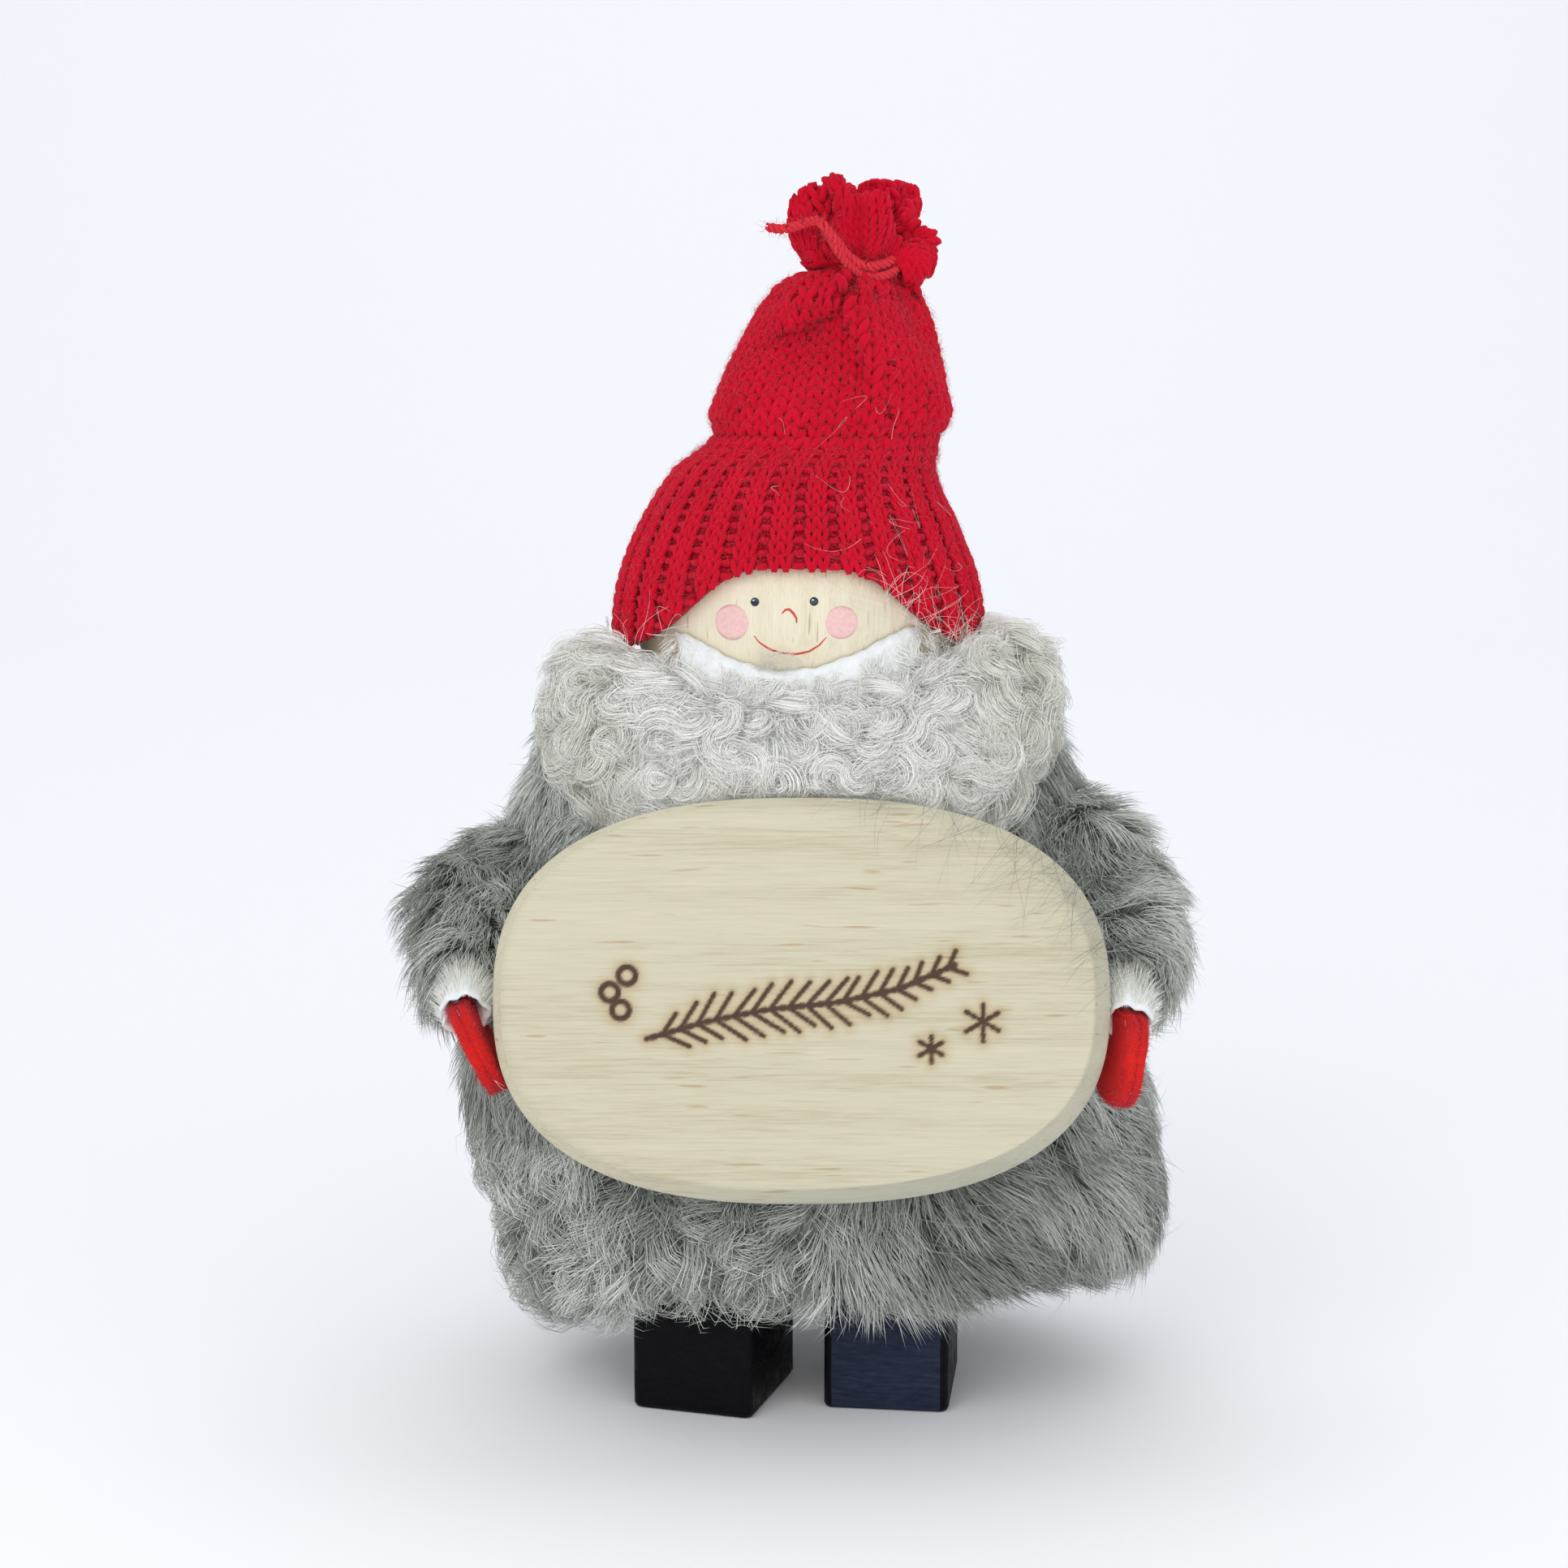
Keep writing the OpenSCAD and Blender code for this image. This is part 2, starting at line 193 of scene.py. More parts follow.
def tapered_tubes(paths, radii, sides=3):
    """Closed tubes along paths (n, k, 3), each ending in a point. Returns points, quads and tris.

    Quads are ordered strand, segment, side; tris are the tips and then the root caps.
    """
    n, k, _ = paths.shape
    along = unit(np.gradient(paths, axis=1))
    guide = unit(rng.normal(size=(n, 1, 3)))
    across = unit(np.cross(along, guide))
    up = np.cross(along, across)
    turn = 2 * math.pi * np.arange(sides) / sides
    ring = np.cos(turn)[:, None] * across[:, :-1, None] + np.sin(turn)[:, None] * up[:, :-1, None]
    rings = paths[:, :-1, None] + radii[:, :-1, None, None] * ring
    each = (k - 1) * sides + 1
    points = np.concatenate([rings.reshape(n, -1, 3), paths[:, -1:]], axis=1).reshape(-1, 3)
    first = (np.arange(n) * each)[:, None, None]
    s = (np.arange(k - 2) * sides)[None, :, None]
    c = np.arange(sides)[None, None, :]
    d = (c + 1) % sides
    quads = np.stack(np.broadcast_arrays(first + s + c, first + s + d, first + s + sides + d,
                                         first + s + sides + c), axis=-1)
    last = (k - 2) * sides
    tips = np.stack(np.broadcast_arrays(first[:, 0] + last + c[0], first[:, 0] + last + d[0],
                                        first[:, 0] + each - 1), axis=-1)
    caps = [np.stack([first[:, 0, 0], first[:, 0, 0] + i + 1, first[:, 0, 0] + i], axis=-1)
            for i in range(1, sides - 1)]
    return points, quads.reshape(-1, 4), np.concatenate([tips.reshape(-1, 3), *caps])


def strand_pieces(name, paths, radii, tones, palette, body="figure", sides=3):
    """Strands as several pieces, cut round the figure so that no piece is too heavy."""
    tones = np.clip(np.rint(tones), 0, len(palette) - 1).astype(int)
    n, k, _ = paths.shape
    per_piece = int(STRANDS_PER_PIECE * STRAND_TRIANGLES / (6 * (k - 2) + 4) * 3 / sides)
    order = np.argsort(np.arctan2(paths[:, 0, 1] - AXIS_Y, paths[:, 0, 0]))
    made = []
    for number, chosen in enumerate(np.array_split(order, max(1, math.ceil(n / per_piece)))):
        points, quads, tris = tapered_tubes(paths[chosen], radii[chosen], sides)
        quad_slots = np.repeat(tones[chosen][:, :k - 2], sides, axis=1)
        tri_slots = np.concatenate([np.repeat(tones[chosen][:, -1], sides)]
                                   + [tones[chosen][:, 0]] * (sides - 2))
        made.append(add_piece(f"{name}_{number + 1}", points, quads, tris, palette, quad_slots, tri_slots,
                              body=body))
    return made


# ---------------------------------------------------------------- materials

def srgb(red, green, blue):
    return tuple(((c / 255 + 0.055) / 1.055) ** 2.4 if c > 10 else c / 255 / 12.92
                 for c in (red, green, blue))


def shader(name, colour=(0.5, 0.5, 0.5), roughness=0.6, specular=0.5, sheen=0.0):
    material = bpy.data.materials.new(name)
    material.use_nodes = True
    base = material.node_tree.nodes["Principled BSDF"]
    base.inputs["Base Color"].default_value = (*colour, 1)
    base.inputs["Roughness"].default_value = roughness
    base.inputs["Specular IOR Level"].default_value = specular
    base.inputs["Sheen Weight"].default_value = sheen
    return material, material.node_tree, base


def add_node(tree, kind, settings=None, **inputs):
    node = tree.nodes.new(kind)
    for key, value in (settings or {}).items():
        setattr(node, key, value)
    for key, value in inputs.items():
        socket = node.inputs[key.replace("_", " ")]
        if isinstance(value, bpy.types.NodeSocket):
            tree.links.new(value, socket)
        else:
            socket.default_value = value
    return node


def place(tree, scale=(1, 1, 1), turn=(0, 0, 0)):
    """Object coordinates in millimetres, stretched by scale."""
    coords = add_node(tree, "ShaderNodeTexCoord")
    mapping = add_node(tree, "ShaderNodeMapping")
    tree.links.new(coords.outputs["Object"], mapping.inputs["Vector"])
    mapping.inputs["Scale"].default_value = [s / MM for s in scale]
    mapping.inputs["Rotation"].default_value = turn
    return mapping.outputs["Vector"]


def noise(tree, vector, scale, detail=3.0, rough=0.5, distortion=0.0):
    node = add_node(tree, "ShaderNodeTexNoise", Vector=vector, Scale=scale, Detail=detail, Roughness=rough,
                    Distortion=distortion)
    return node.outputs["Fac"]


def ramp(tree, factor, stops):
    node = add_node(tree, "ShaderNodeValToRGB", Fac=factor)
    elements = node.color_ramp.elements
    while len(elements) < len(stops):
        elements.new(0.5)
    for element, (at, colour) in zip(elements, stops):
        element.position = at
        element.color = (*colour, 1)
    return node.outputs["Color"]


def levels(tree, factor, low, high, out_low=0.0, out_high=1.0):
    node = add_node(tree, "ShaderNodeMapRange", Value=factor, From_Min=low, From_Max=high, To_Min=out_low,
                    To_Max=out_high)
    return node.outputs["Result"]


def mix(tree, factor, first, second, mode="MIX"):
    node = tree.nodes.new("ShaderNodeMix")
    node.data_type = "RGBA"
    node.blend_type = mode
    for index, value in ((0, factor), (6, first), (7, second)):
        if isinstance(value, bpy.types.NodeSocket):
            tree.links.new(value, node.inputs[index])
        elif index == 0:
            node.inputs[index].default_value = value
        else:
            node.inputs[index].default_value = (*value, 1)
    return node.outputs[2]


def maths(tree, operation, first, second=0.0):
    node = tree.nodes.new("ShaderNodeMath")
    node.operation = operation
    for socket, value in zip(node.inputs, (first, second)):
        if isinstance(value, bpy.types.NodeSocket):
            tree.links.new(value, socket)
        else:
            socket.default_value = value
    return node.outputs["Value"]


def blend(tree, first, second, share):
    """The share of the first value added to the rest of the second."""
    rest = round(1 - share, 2)
    return maths(tree, "ADD", maths(tree, "MULTIPLY", first, share), maths(tree, "MULTIPLY", second, rest))


def colour_by(tree, base, factor, stops):
    tree.links.new(ramp(tree, factor, stops), base.inputs["Base Color"])


def bump(tree, base, height, distance, strength=1.0):
    node = add_node(tree, "ShaderNodeBump", Height=height, Distance=distance * MM, Strength=strength)
    tree.links.new(node.outputs["Normal"], base.inputs["Normal"])


def hair_palette(name, colours, sheen=0.0, glow=0.0):
    """One plain material for each tone. glow stands in for the light scattered between pale hairs."""
    palette = []
    for i, colour in enumerate(colours):
        material, _, base = shader(f"{name}_{i}", srgb(*colour), 0.55, 0.35, sheen)
        base.inputs["Emission Color"].default_value = (*srgb(*colour), 1)
        base.inputs["Emission Strength"].default_value = glow
        palette.append(material)
    return palette


GREY_FUR = hair_palette("grey_fur_hair", [
    (84, 87, 83), (118, 122, 116), (148, 152, 145), (172, 177, 169), (193, 198, 190), (211, 215, 208),
    (227, 230, 224), (241, 242, 238)], 0.25)
# The white hairs also glow a little (glow 0.05): painted light in place of the light scattered between pale
# hairs.
WHITE_FUR = hair_palette("white_fur_hair", [
    (204, 205, 193), (222, 223, 212), (236, 236, 227), (245, 245, 238), (251, 251, 246),
    (254, 254, 251)], 0.5, 0.05)
CREAM_FUR = hair_palette("cream_fur_hair", [(232, 226, 206), (242, 238, 224)], 0.4)
RED_FUZZ = hair_palette("red_wool_hair", [(190, 10, 36), (208, 20, 48), (222, 52, 72)], 0.2)


def pelt_material(name, dark, light):
    material, tree, base = shader(name, roughness=0.8, specular=0.2)
    fibre = noise(tree, place(tree, (0.9, 0.9, 0.22)), 1.0, 6, 0.62, 1.2)
    patch = noise(tree, place(tree), 0.08, 3)
    colour_by(tree, base, blend(tree, fibre, patch, 0.65), [(0.3, dark), (0.7, light)])
    bump(tree, base, fibre, 0.6, 0.8)
    return material


GREY_PELT = pelt_material("grey_undercoat", srgb(104, 108, 102), srgb(172, 176, 168))
WHITE_PELT = pelt_material("white_undercoat", srgb(214, 217, 210), srgb(246, 247, 244))


def hide_material():
    material, tree, base = shader("hide_edge", roughness=0.7, specular=0.25)
    grain = noise(tree, place(tree), 0.7, 5, 0.6)
    colour_by(tree, base, grain, [(0.3, srgb(220, 225, 226)), (0.7, srgb(240, 243, 243))])
    bump(tree, base, grain, 0.25, 0.6)
    return material


HIDE = hide_material()


def wool_material(name, dark, light):
    """Red yarn: fine plied fibres with some lighter ones."""
    material, tree, base = shader(name, roughness=0.9, specular=0.08, sheen=0.16)
    base.inputs["Sheen Roughness"].default_value = 0.5
    base.inputs["Sheen Tint"].default_value = (1.0, 0.35, 0.4, 1)
    fine = noise(tree, place(tree), 3.2, 5, 0.7, 1.0)
    broad = noise(tree, place(tree), 0.12, 2)
    colour_by(tree, base, blend(tree, fine, broad, 0.7), [(0.34, dark), (0.66, light)])
    bump(tree, base, fine, 0.12, 0.7)
    return material


HAT_WOOL = wool_material("red_hat_yarn", srgb(188, 6, 34), srgb(218, 16, 50))
# A darker copy of the hat's red: painted shade for the fabric seen in the gaps under the stitches.
HAT_PAINTED_SHADE = wool_material("red_hat_yarn_painted_shade", srgb(166, 5, 30), srgb(194, 12, 42))
TIE_WOOL = wool_material("tie_yarn_wool", srgb(206, 30, 48), srgb(230, 66, 78))
FELT = wool_material("red_felt_wool", srgb(190, 22, 22), srgb(228, 44, 36))


def birch_material(name, pale, mid, along, scale=1.0, painted=None):
    """Birch with its grain along one axis, faint growth bands and short dark flecks."""
    material, tree, base = shader(name, roughness=0.5, specular=0.35)
    stretch = [0.035 if axis == along else 1.0 for axis in "XYZ"]
    fine = noise(tree, place(tree, [s * 2.4 * scale for s in stretch]), 1.0, 6, 0.7)
    bands = noise(tree, place(tree, [s * 0.2 * scale for s in stretch]), 1.0, 2, 0.4, 0.6)
    lightest = [c * 1.08 for c in pale]
    colour = ramp(tree, blend(tree, fine, bands, 0.65), [(0.36, mid), (0.5, pale), (0.64, lightest)])
    fleck_at = [0.1 if axis == along else 1.1 for axis in "XYZ"]
    fleck = noise(tree, place(tree, [s * scale for s in fleck_at], (0.1, 0.2, 0.3)), 1.0, 1, 0.3)
    colour = mix(tree, levels(tree, fleck, 0.71, 0.78, 0.0, 0.55), colour, srgb(166, 134, 92))
    if painted:
        burn = add_node(tree, "ShaderNodeVertexColor", {"layer_name": painted}).outputs["Color"]
        colour = mix(tree, 1.0, colour, burn, "MULTIPLY")
    tree.links.new(colour, base.inputs["Base Color"])
    bump(tree, base, fine, 0.05, 0.5)
    return material


def painted_wood(name, dark, light, gloss):
    """Hand-painted wood: slight streaks along the brush, dust and worn patches in the gloss."""
    material, tree, base = shader(name, roughness=gloss, specular=0.1)
    streak = noise(tree, place(tree, (0.25, 0.25, 1.6)), 1.0, 5, 0.6, 0.4)
    dust = noise(tree, place(tree), 0.35, 4, 0.6)
    colour_by(tree, base, streak, [(0.3, dark), (0.75, light)])
    tree.links.new(levels(tree, dust, 0.3, 0.75, gloss - 0.1, gloss + 0.25), base.inputs["Roughness"])
    cells = add_node(tree, "ShaderNodeTexVoronoi", {"feature": "DISTANCE_TO_EDGE"}, Vector=place(tree),
                     Scale=0.28)
    cracks = levels(tree, cells.outputs["Distance"], 0.0, 0.05)
    bump(tree, base, maths(tree, "ADD", maths(tree, "MULTIPLY", streak, 0.3), cracks), 0.12, 0.5)
    return material


# ---------------------------------------------------------------- skins

def from_front(u):
    """Degrees between angle u and the front."""
    return np.abs((u + 90 + 180) % 360 - 180)


# Hide of the coat: height, middle in x, half width, depth to the front and to the back.
COAT_ROWS = [
    [31, 2, 36, 26, 30], [25, 4.6, 44.5, 31, 37], [23, 5.4, 52, 35, 40.5], [26, 6.0, 57, 37.5, 43],
    [33, 6.8, 59, 38.5, 44], [42, 6.0, 60.5, 38.5, 44.5], [54, 3.2, 61.8, 37.5, 45], [63, 1.2, 61.8, 36, 45],
    [72, 0.7, 59.5, 34.5, 45], [80, 0, 57, 33, 45], [88, 0, 54, 31.5, 44], [97, 0, 51.5, 29.5, 42.5],
    [108, -1.0, 50, 28, 41.5], [118, 0, 48.5, 26, 38.5], [127, 0, 43.5, 25, 35.5], [132, 0, 38, 25, 32],
    [134, 0, 30, 25, 30],
]
coat_rows = table_curve(COAT_ROWS, passes=2)


def coat_skin(u, v):
    r = coat_rows(v)
    a = np.radians(u)
    depth = np.where(np.sin(a) < 0, r[..., 3], r[..., 4])
    x = r[..., 1] + r[..., 2] * np.cos(a)
    y = AXIS_Y + depth * np.sin(a)
    # the hem is lowest at the sides and the back, and rises over the feet and at the right front corner
    front = np.exp(-(from_front(u) / 48) ** 4)
    left_foot = np.exp(-(from_front(u + 20) / 26) ** 4)
    hem = smoothstep((60 - r[..., 0]) / 40)
    right_corner = np.exp(-(from_front(u - 52) / 34) ** 4)
    low_edge = (2.0 * front + 4.5 * left_foot + 6.0 * right_corner - 3.0 * (1 - front)
                + 0.9 * np.sin(3 * a + 1) + 0.6 * np.sin(7 * a))
    # the collar stands up to the hat at the back
    collar = 3.5 * smoothstep((r[..., 0] - 122) / 12) * smoothstep(np.sin(a) / 0.6)
    z = r[..., 0] + hem * low_edge + collar
    point = np.stack([x, y, z], axis=-1)
    swell = 1.2 * waves(point, 34, 3)
    out = np.stack([np.cos(a), np.sin(a), np.zeros_like(a)], axis=-1)
    return point + swell[..., None] * out


def tube_skin(rows, passes=2):
    """A skin round a line of [x, y, z, radius across, radius up]."""
    line = table_curve(rows, passes)

    def skin(u, v):
        here = line(v)
        along = unit(line(np.clip(v + 0.02, 0, 1))[..., :3] - line(np.clip(v - 0.02, 0, 1))[..., :3])
        up_hint = np.array([0.0, 0.0, 1.0])
        across = unit(np.cross(np.broadcast_to(up_hint, along.shape), along))
        up = np.cross(along, across)
        a = np.radians(u)[..., None]
        end = np.sqrt(np.clip(1 - (np.clip(np.abs(v - 0.5) - 0.42, 0, 1) / 0.08) ** 2, 0.04, 1))[..., None]
        ring = here[..., 3:4] * np.cos(a) * across + here[..., 4:5] * np.sin(a) * up
        return here[..., :3] + end * ring

    return skin


def sleeve_rows(side):
    right = [
        [30, 2, 103.5, 8, 8], [42, 1, 103, 10.5, 11], [53, -3, 98.5, 11.5, 12], [58.5, -11, 93, 9.5, 11],
        [60, -21, 88.5, 8, 9], [60.2, -30, 85.8, 5.6, 6.6], [60, -36, 84.4, 4.4, 5.0],
    ]
    left = [
        [30, 2, 101, 8, 8], [41, 1, 98.5, 10.5, 11], [53, -3, 94, 11.5, 11.5], [60, -10, 91.5, 9.5, 10.5],
        [60, -21, 88.3, 7.5, 8.6], [60.2, -30, 85.8, 5.6, 6.6], [60, -36, 84.4, 4.4, 5.0],
    ]
    return [[side * x, y + AXIS_Y, z, a, b] for x, y, z, a, b in (left if side < 0 else right)]


BEARD_ROWS = [
    [-31, 3, 134, 8.5, 9], [-35.5, -8, 130.5, 9.5, 11], [-32, -19, 126, 9.5, 12.5], [-17, -27, 121.5, 9, 13],
    [0, -30, 120, 8.5, 13], [17, -28, 121.5, 8.5, 13.5], [31, -19.5, 126, 9.5, 13.5],
    [36.5, -9.5, 131, 9.5, 12.5], [35, 3, 135, 8.5, 10],
]


# ---------------------------------------------------------------- fur

def keep_clear(paths, hat=True):
    """Push strands off the sign, the ball and the hat's brim."""
    p = paths.copy()
    # off the sign: whatever is inside the board goes behind it
    rel = p - SIGN_FRONT
    x, y, depth = rel @ SIGN_RIGHT, rel @ SIGN_UP, -(rel @ SIGN_OUT)
    q = (np.abs(x / (SIGN_W / 2 + 0.6)) ** SIGN_POWER + np.abs(y / (SIGN_H / 2 + 0.6)) ** SIGN_POWER)
    inside = (q < 1) & (depth < SIGN_T + 0.5)
    p += np.where(inside, depth - SIGN_T - 0.5, 0)[..., None] * SIGN_OUT
    # off the ball
    rel = p - HEAD
    away = np.linalg.norm(rel, axis=-1, keepdims=True)
    p = np.where(away < HEAD_R + 0.5, HEAD + unit(rel) * (HEAD_R + 0.5), p)
    if hat:
        rel = p - [0, AXIS_Y, 0]
        flat = np.hypot(rel[..., 0], rel[..., 1])
        angle = np.degrees(np.arctan2(rel[..., 1], rel[..., 0]))
        room = hat_outer(p[..., 2]) + 1.2
        under = (p[..., 2] > brim_height(angle) - 0.8) & (flat < room) & (p[..., 2] < 170)
        push = np.where(under, (room - flat) / np.maximum(flat, 1), 0)
        p[..., 0] += rel[..., 0] * push
        p[..., 1] += rel[..., 1] * push
    return p


def brim_height(u):
    front = from_front(u)
    return BRIM_SIDE_Z - 4 * smoothstep((front - 90) / 90) + BRIM_ARCH / (1 + (front / 40) ** 4)


def hat_outer(z):
    return 33 + 2.4 * np.clip((160 - z) / 19, 0, 1) ** 0.7


def scatter(skin, count, keep):
    """Places spread evenly over a skin, thinned out where keep is less than 1: points and normals."""
    u = rng.uniform(0.0, 360.0, count * 3)
    v = rng.uniform(0.0, 1.0, count * 3)
    points, normals, _, _ = surface_frame(skin, u, v)
    e = SKIN_STEP
    area = (np.linalg.norm(skin(u + 360 * e, v) - skin(u - 360 * e, v), axis=-1)
            * np.linalg.norm(skin(u, np.clip(v + e, 0, 1)) - skin(u, np.clip(v - e, 0, 1)), axis=-1))
    chance = area * keep(points, normals)
    chance = np.clip(chance / np.quantile(chance, 0.97), 0, 1)
    order = np.flatnonzero(rng.uniform(size=len(u)) < chance)[:count]
    return points[order], normals[order]


def grow(skin, count, comb, length, lift, curl, turns, width, tone, keep, clump=6.0, tight=0.6, steps=5,
         flyaway=0.05, root_tone=-2.2, tip_tone=1.6, spread=0.22, lock_mix=0.35):
    """Strands on a skin. Each setting is a number or a function of (points, normals).

    comb gives the lay's direction, and keep the share of strands that stay at a place.
    """
    root, normal = scatter(skin, count, keep)
    n = len(root)

    def value(setting):
        return setting(root, normal) if callable(setting) else np.full(n, float(setting))

    # strands gather into locks round some of the roots
    centres = rng.choice(n, max(1, int(n / (clump * clump * 1.6))), replace=False)
    tree = kdtree.KDTree(len(centres))
    for index, centre in enumerate(centres):
        tree.insert(root[centre], index)
    tree.balance()
    lock = np.array([tree.find(r)[1] for r in root])
    home = root[centres][lock]
    locks = len(centres)
    lock_turn = rng.normal(0, spread, locks)[lock]
    lock_phase = rng.uniform(0, 2 * math.pi, locks)[lock] + rng.normal(0, 0.25, n)
    lock_hand = rng.choice([-1.0, 1.0], locks)[lock]
    lock_long = rng.uniform(0.88, 1.14, locks)[lock]
    lock_tone = rng.normal(0, lock_mix, locks)[lock]
    lock_lift = rng.uniform(0.88, 1.16, locks)[lock]

    lay = comb(root, normal)
    lay = unit(lay - (lay * normal).sum(-1, keepdims=True) * normal)
    side = np.cross(normal, lay)
    loose = rng.uniform(size=n) < flyaway
    turn = lock_turn + rng.normal(0, 0.12, n) + np.where(loose, rng.normal(0, 0.9, n), 0)
    lay = np.cos(turn)[:, None] * lay + np.sin(turn)[:, None] * side
    side = np.cross(normal, lay)

    t = np.linspace(0, 1, steps)
    mid = (t[1:] + t[:-1]) / 2
    start = np.radians(90) - value(lift) * lock_lift
    start = np.clip(start, 0.15, 1.4)
    bend = start[:, None] + (np.radians(96) - start[:, None]) * mid ** 0.8
    reach = value(length) * lock_long * rng.uniform(0.75, 1.1, n) * np.where(loose, 1.15, 1)
    move = (np.cos(bend)[..., None] * normal[:, None] + np.sin(bend)[..., None] * lay[:, None])
    path = np.concatenate([np.zeros((n, 1, 3)), np.cumsum(move, axis=1)], axis=1)
    path = root[:, None] + path * (reach / (steps - 1))[:, None, None]

    angle = lock_phase[:, None] + lock_hand[:, None] * 2 * math.pi * value(turns)[:, None] * t
    first = lock_phase[:, None]
    radius = value(curl)[:, None] * t ** 0.6
    path += (radius * (np.cos(angle) - np.cos(first)))[..., None] * side[:, None]
    path += (radius * 0.8 * (np.sin(angle) - np.sin(first)))[..., None] * normal[:, None]
    pull = tight * smoothstep(t)[None, :] * np.where(loose, 0.1, 1)[:, None]
    path += pull[..., None] * (home - root)[:, None]
    path += rng.normal(0, 0.35, (n, 1, 3)) * t[None, :, None]
    # nothing grows back into the hide
    depth = ((path - root[:, None]) * normal[:, None]).sum(-1)
    path += np.clip(0.2 - depth, 0, None)[..., None] * (t > 0)[None, :, None] * normal[:, None]
    path[:, 0] -= 0.8 * normal

    thin = value(width)[:, None] * (1 - t[None, :] ** 2.2 * 0.85) * rng.uniform(0.8, 1.2, (n, 1))
    thin = np.where(loose[:, None], thin * 0.6, thin)
    odd = np.where(rng.uniform(size=n) < 0.06, rng.choice([-2.4, 2.0], n), 0)
    shade = value(tone)[:, None] + lock_tone[:, None] + rng.normal(0, 0.5, (n, 1)) + odd[:, None]
    shade = shade + root_tone + (tip_tone - root_tone) * mid[None, :] ** 0.8
    return keep_clear(path), thin, shade


def curl_locks(skin, count, hairs, comb, reach, high, width, tone, keep, steps=9):
    """Soft curls: the hairs of each lock follow one flat spiral that arches off the skin."""
    root, normal = scatter(skin, count, keep)
    n = len(root)
    lay = comb(root, normal)
    lay = unit(lay - (lay * normal).sum(-1, keepdims=True) * normal)
    aim = rng.normal(0, 0.8, n)[:, None]
    lay = np.cos(aim) * lay + np.sin(aim) * np.cross(normal, lay)
    side = np.cross(normal, lay)
    dense = 41
    t = np.linspace(0, 1, dense)
    sweep = rng.uniform(0.9, 2.0, n) * math.pi * rng.choice([-1.0, 1.0], n)
    angle = sweep[:, None] * (t ** 1.25 - 0.3)
    size = (reach * rng.uniform(0.75, 1.25, n))[:, None, None]
    ahead = np.cos(angle)[..., None] * lay[:, None] + np.sin(angle)[..., None] * side[:, None]
    across = np.cos(angle)[..., None] * side[:, None] - np.sin(angle)[..., None] * lay[:, None]
    run = np.cumsum(ahead * (1.3 - 0.6 * t)[None, :, None], axis=1) * size / dense
    run -= run[:, :1]
    rise = (high * rng.uniform(0.6, 1.3, n))[:, None] * np.sin(np.pi * (0.06 + 0.8 * t)) - 0.7 * (1 - t) ** 6
    rise = rise - 0.03 * (run ** 2).sum(-1)
    middle = root[:, None] + run + rise[..., None] * normal[:, None]

    lock = np.repeat(np.arange(n), hairs)
    total = len(lock)
    s = np.linspace(0, 1, steps) * rng.uniform(0.72, 1.0, (total, 1))
    low = np.minimum((s * (dense - 1)).astype(int), dense - 2)
    part = (s * (dense - 1) - low)[..., None]
    path = middle[lock[:, None], low] * (1 - part) + middle[lock[:, None], low + 1] * part
    wide = 1.1 * (0.5 + 0.6 * np.sin(np.pi * s ** 0.8))[..., None]
    path += wide * rng.normal(0, 1, (total, 1, 1)) * across[lock[:, None], low]
    path += wide * 0.65 * rng.normal(0, 1, (total, 1, 1)) * normal[lock][:, None]
    path += rng.normal(0, 0.3, (total, 1, 3)) * s[..., None]
    thin = width * (1 - 0.85 * np.linspace(0, 1, steps) ** 2) * rng.uniform(0.75, 1.15, (total, 1))
    shade = (tone(root, normal) + rng.normal(0, 0.3, n))[lock] + rng.normal(0, 0.45, total)
    return keep_clear(path), thin, shade[:, None] - 0.9 + 1.5 * np.linspace(0, 1, steps - 1)


def in_view(points, normals):
    """1 where the front camera sees the fur, less round the back and behind the sign."""
    front = smoothstep((25 - (points[..., 1] - AXIS_Y)) / 30)
    behind = (np.abs(points[..., 0] / 47) ** 2.5 + np.abs((points[..., 2] - 86) / 27) ** 2.5 < 1)
    behind &= points[..., 1] < AXIS_Y
    return np.where(behind, 0.18, 0.45 + 0.55 * front)


def front_left(points):
    """1 on the curlier, lighter overlap at the lower left front."""
    low = smoothstep((62 - points[..., 2]) / 10)
    left = smoothstep((5.5 - points[..., 0]) / 2)
    return low * left * smoothstep((12 - points[..., 1]) / 10)


def front_right(points):
    low = smoothstep((62 - points[..., 2]) / 10)
    return low * smoothstep((points[..., 0] - 5.5) / 2) * smoothstep((12 - points[..., 1]) / 10)


def coat_comb(points, normals):
    swirl = waves(points, 26, 11)
    sideways = np.stack([np.ones(len(points)), np.zeros(len(points)), np.zeros(len(points))], axis=-1)
    away = np.clip(points[:, 0] / 30, -1, 1) * 0.45 + 0.8 * swirl + 0.35 * front_right(points)
    return np.array([0, 0, -1.0]) + away[:, None] * sideways


def coat_tone(points, normals):
    patches = 1.5 * waves(points, 30, 5) + 0.6 * waves(points, 12, 6)
    # painted shade: the fur is darker round the left mitten, beside the sign's left edge, where shade falls
    shade_by_left_hand = np.exp(-((points[:, 0] + 52) / 12) ** 2 - ((points[:, 2] - 70) / 16) ** 2)
    low = smoothstep((50 - points[:, 2]) / 12)
    middle = 1.3 * np.exp(-((points[:, 0] - 3) / 11) ** 2) - 0.9 * np.exp(-((points[:, 0] - 27) / 13) ** 2)
    return (3.5 + patches + 0.9 * front_left(points) - 0.7 * front_right(points) - 1.6 * shade_by_left_hand
            + low * middle)


def coat_length(points, normals):
    low = smoothstep((34 - points[:, 2]) / 12)
    collar = smoothstep((points[:, 2] - 112) / 12)
    return 12.5 - 2.0 * low - 1.5 * collar


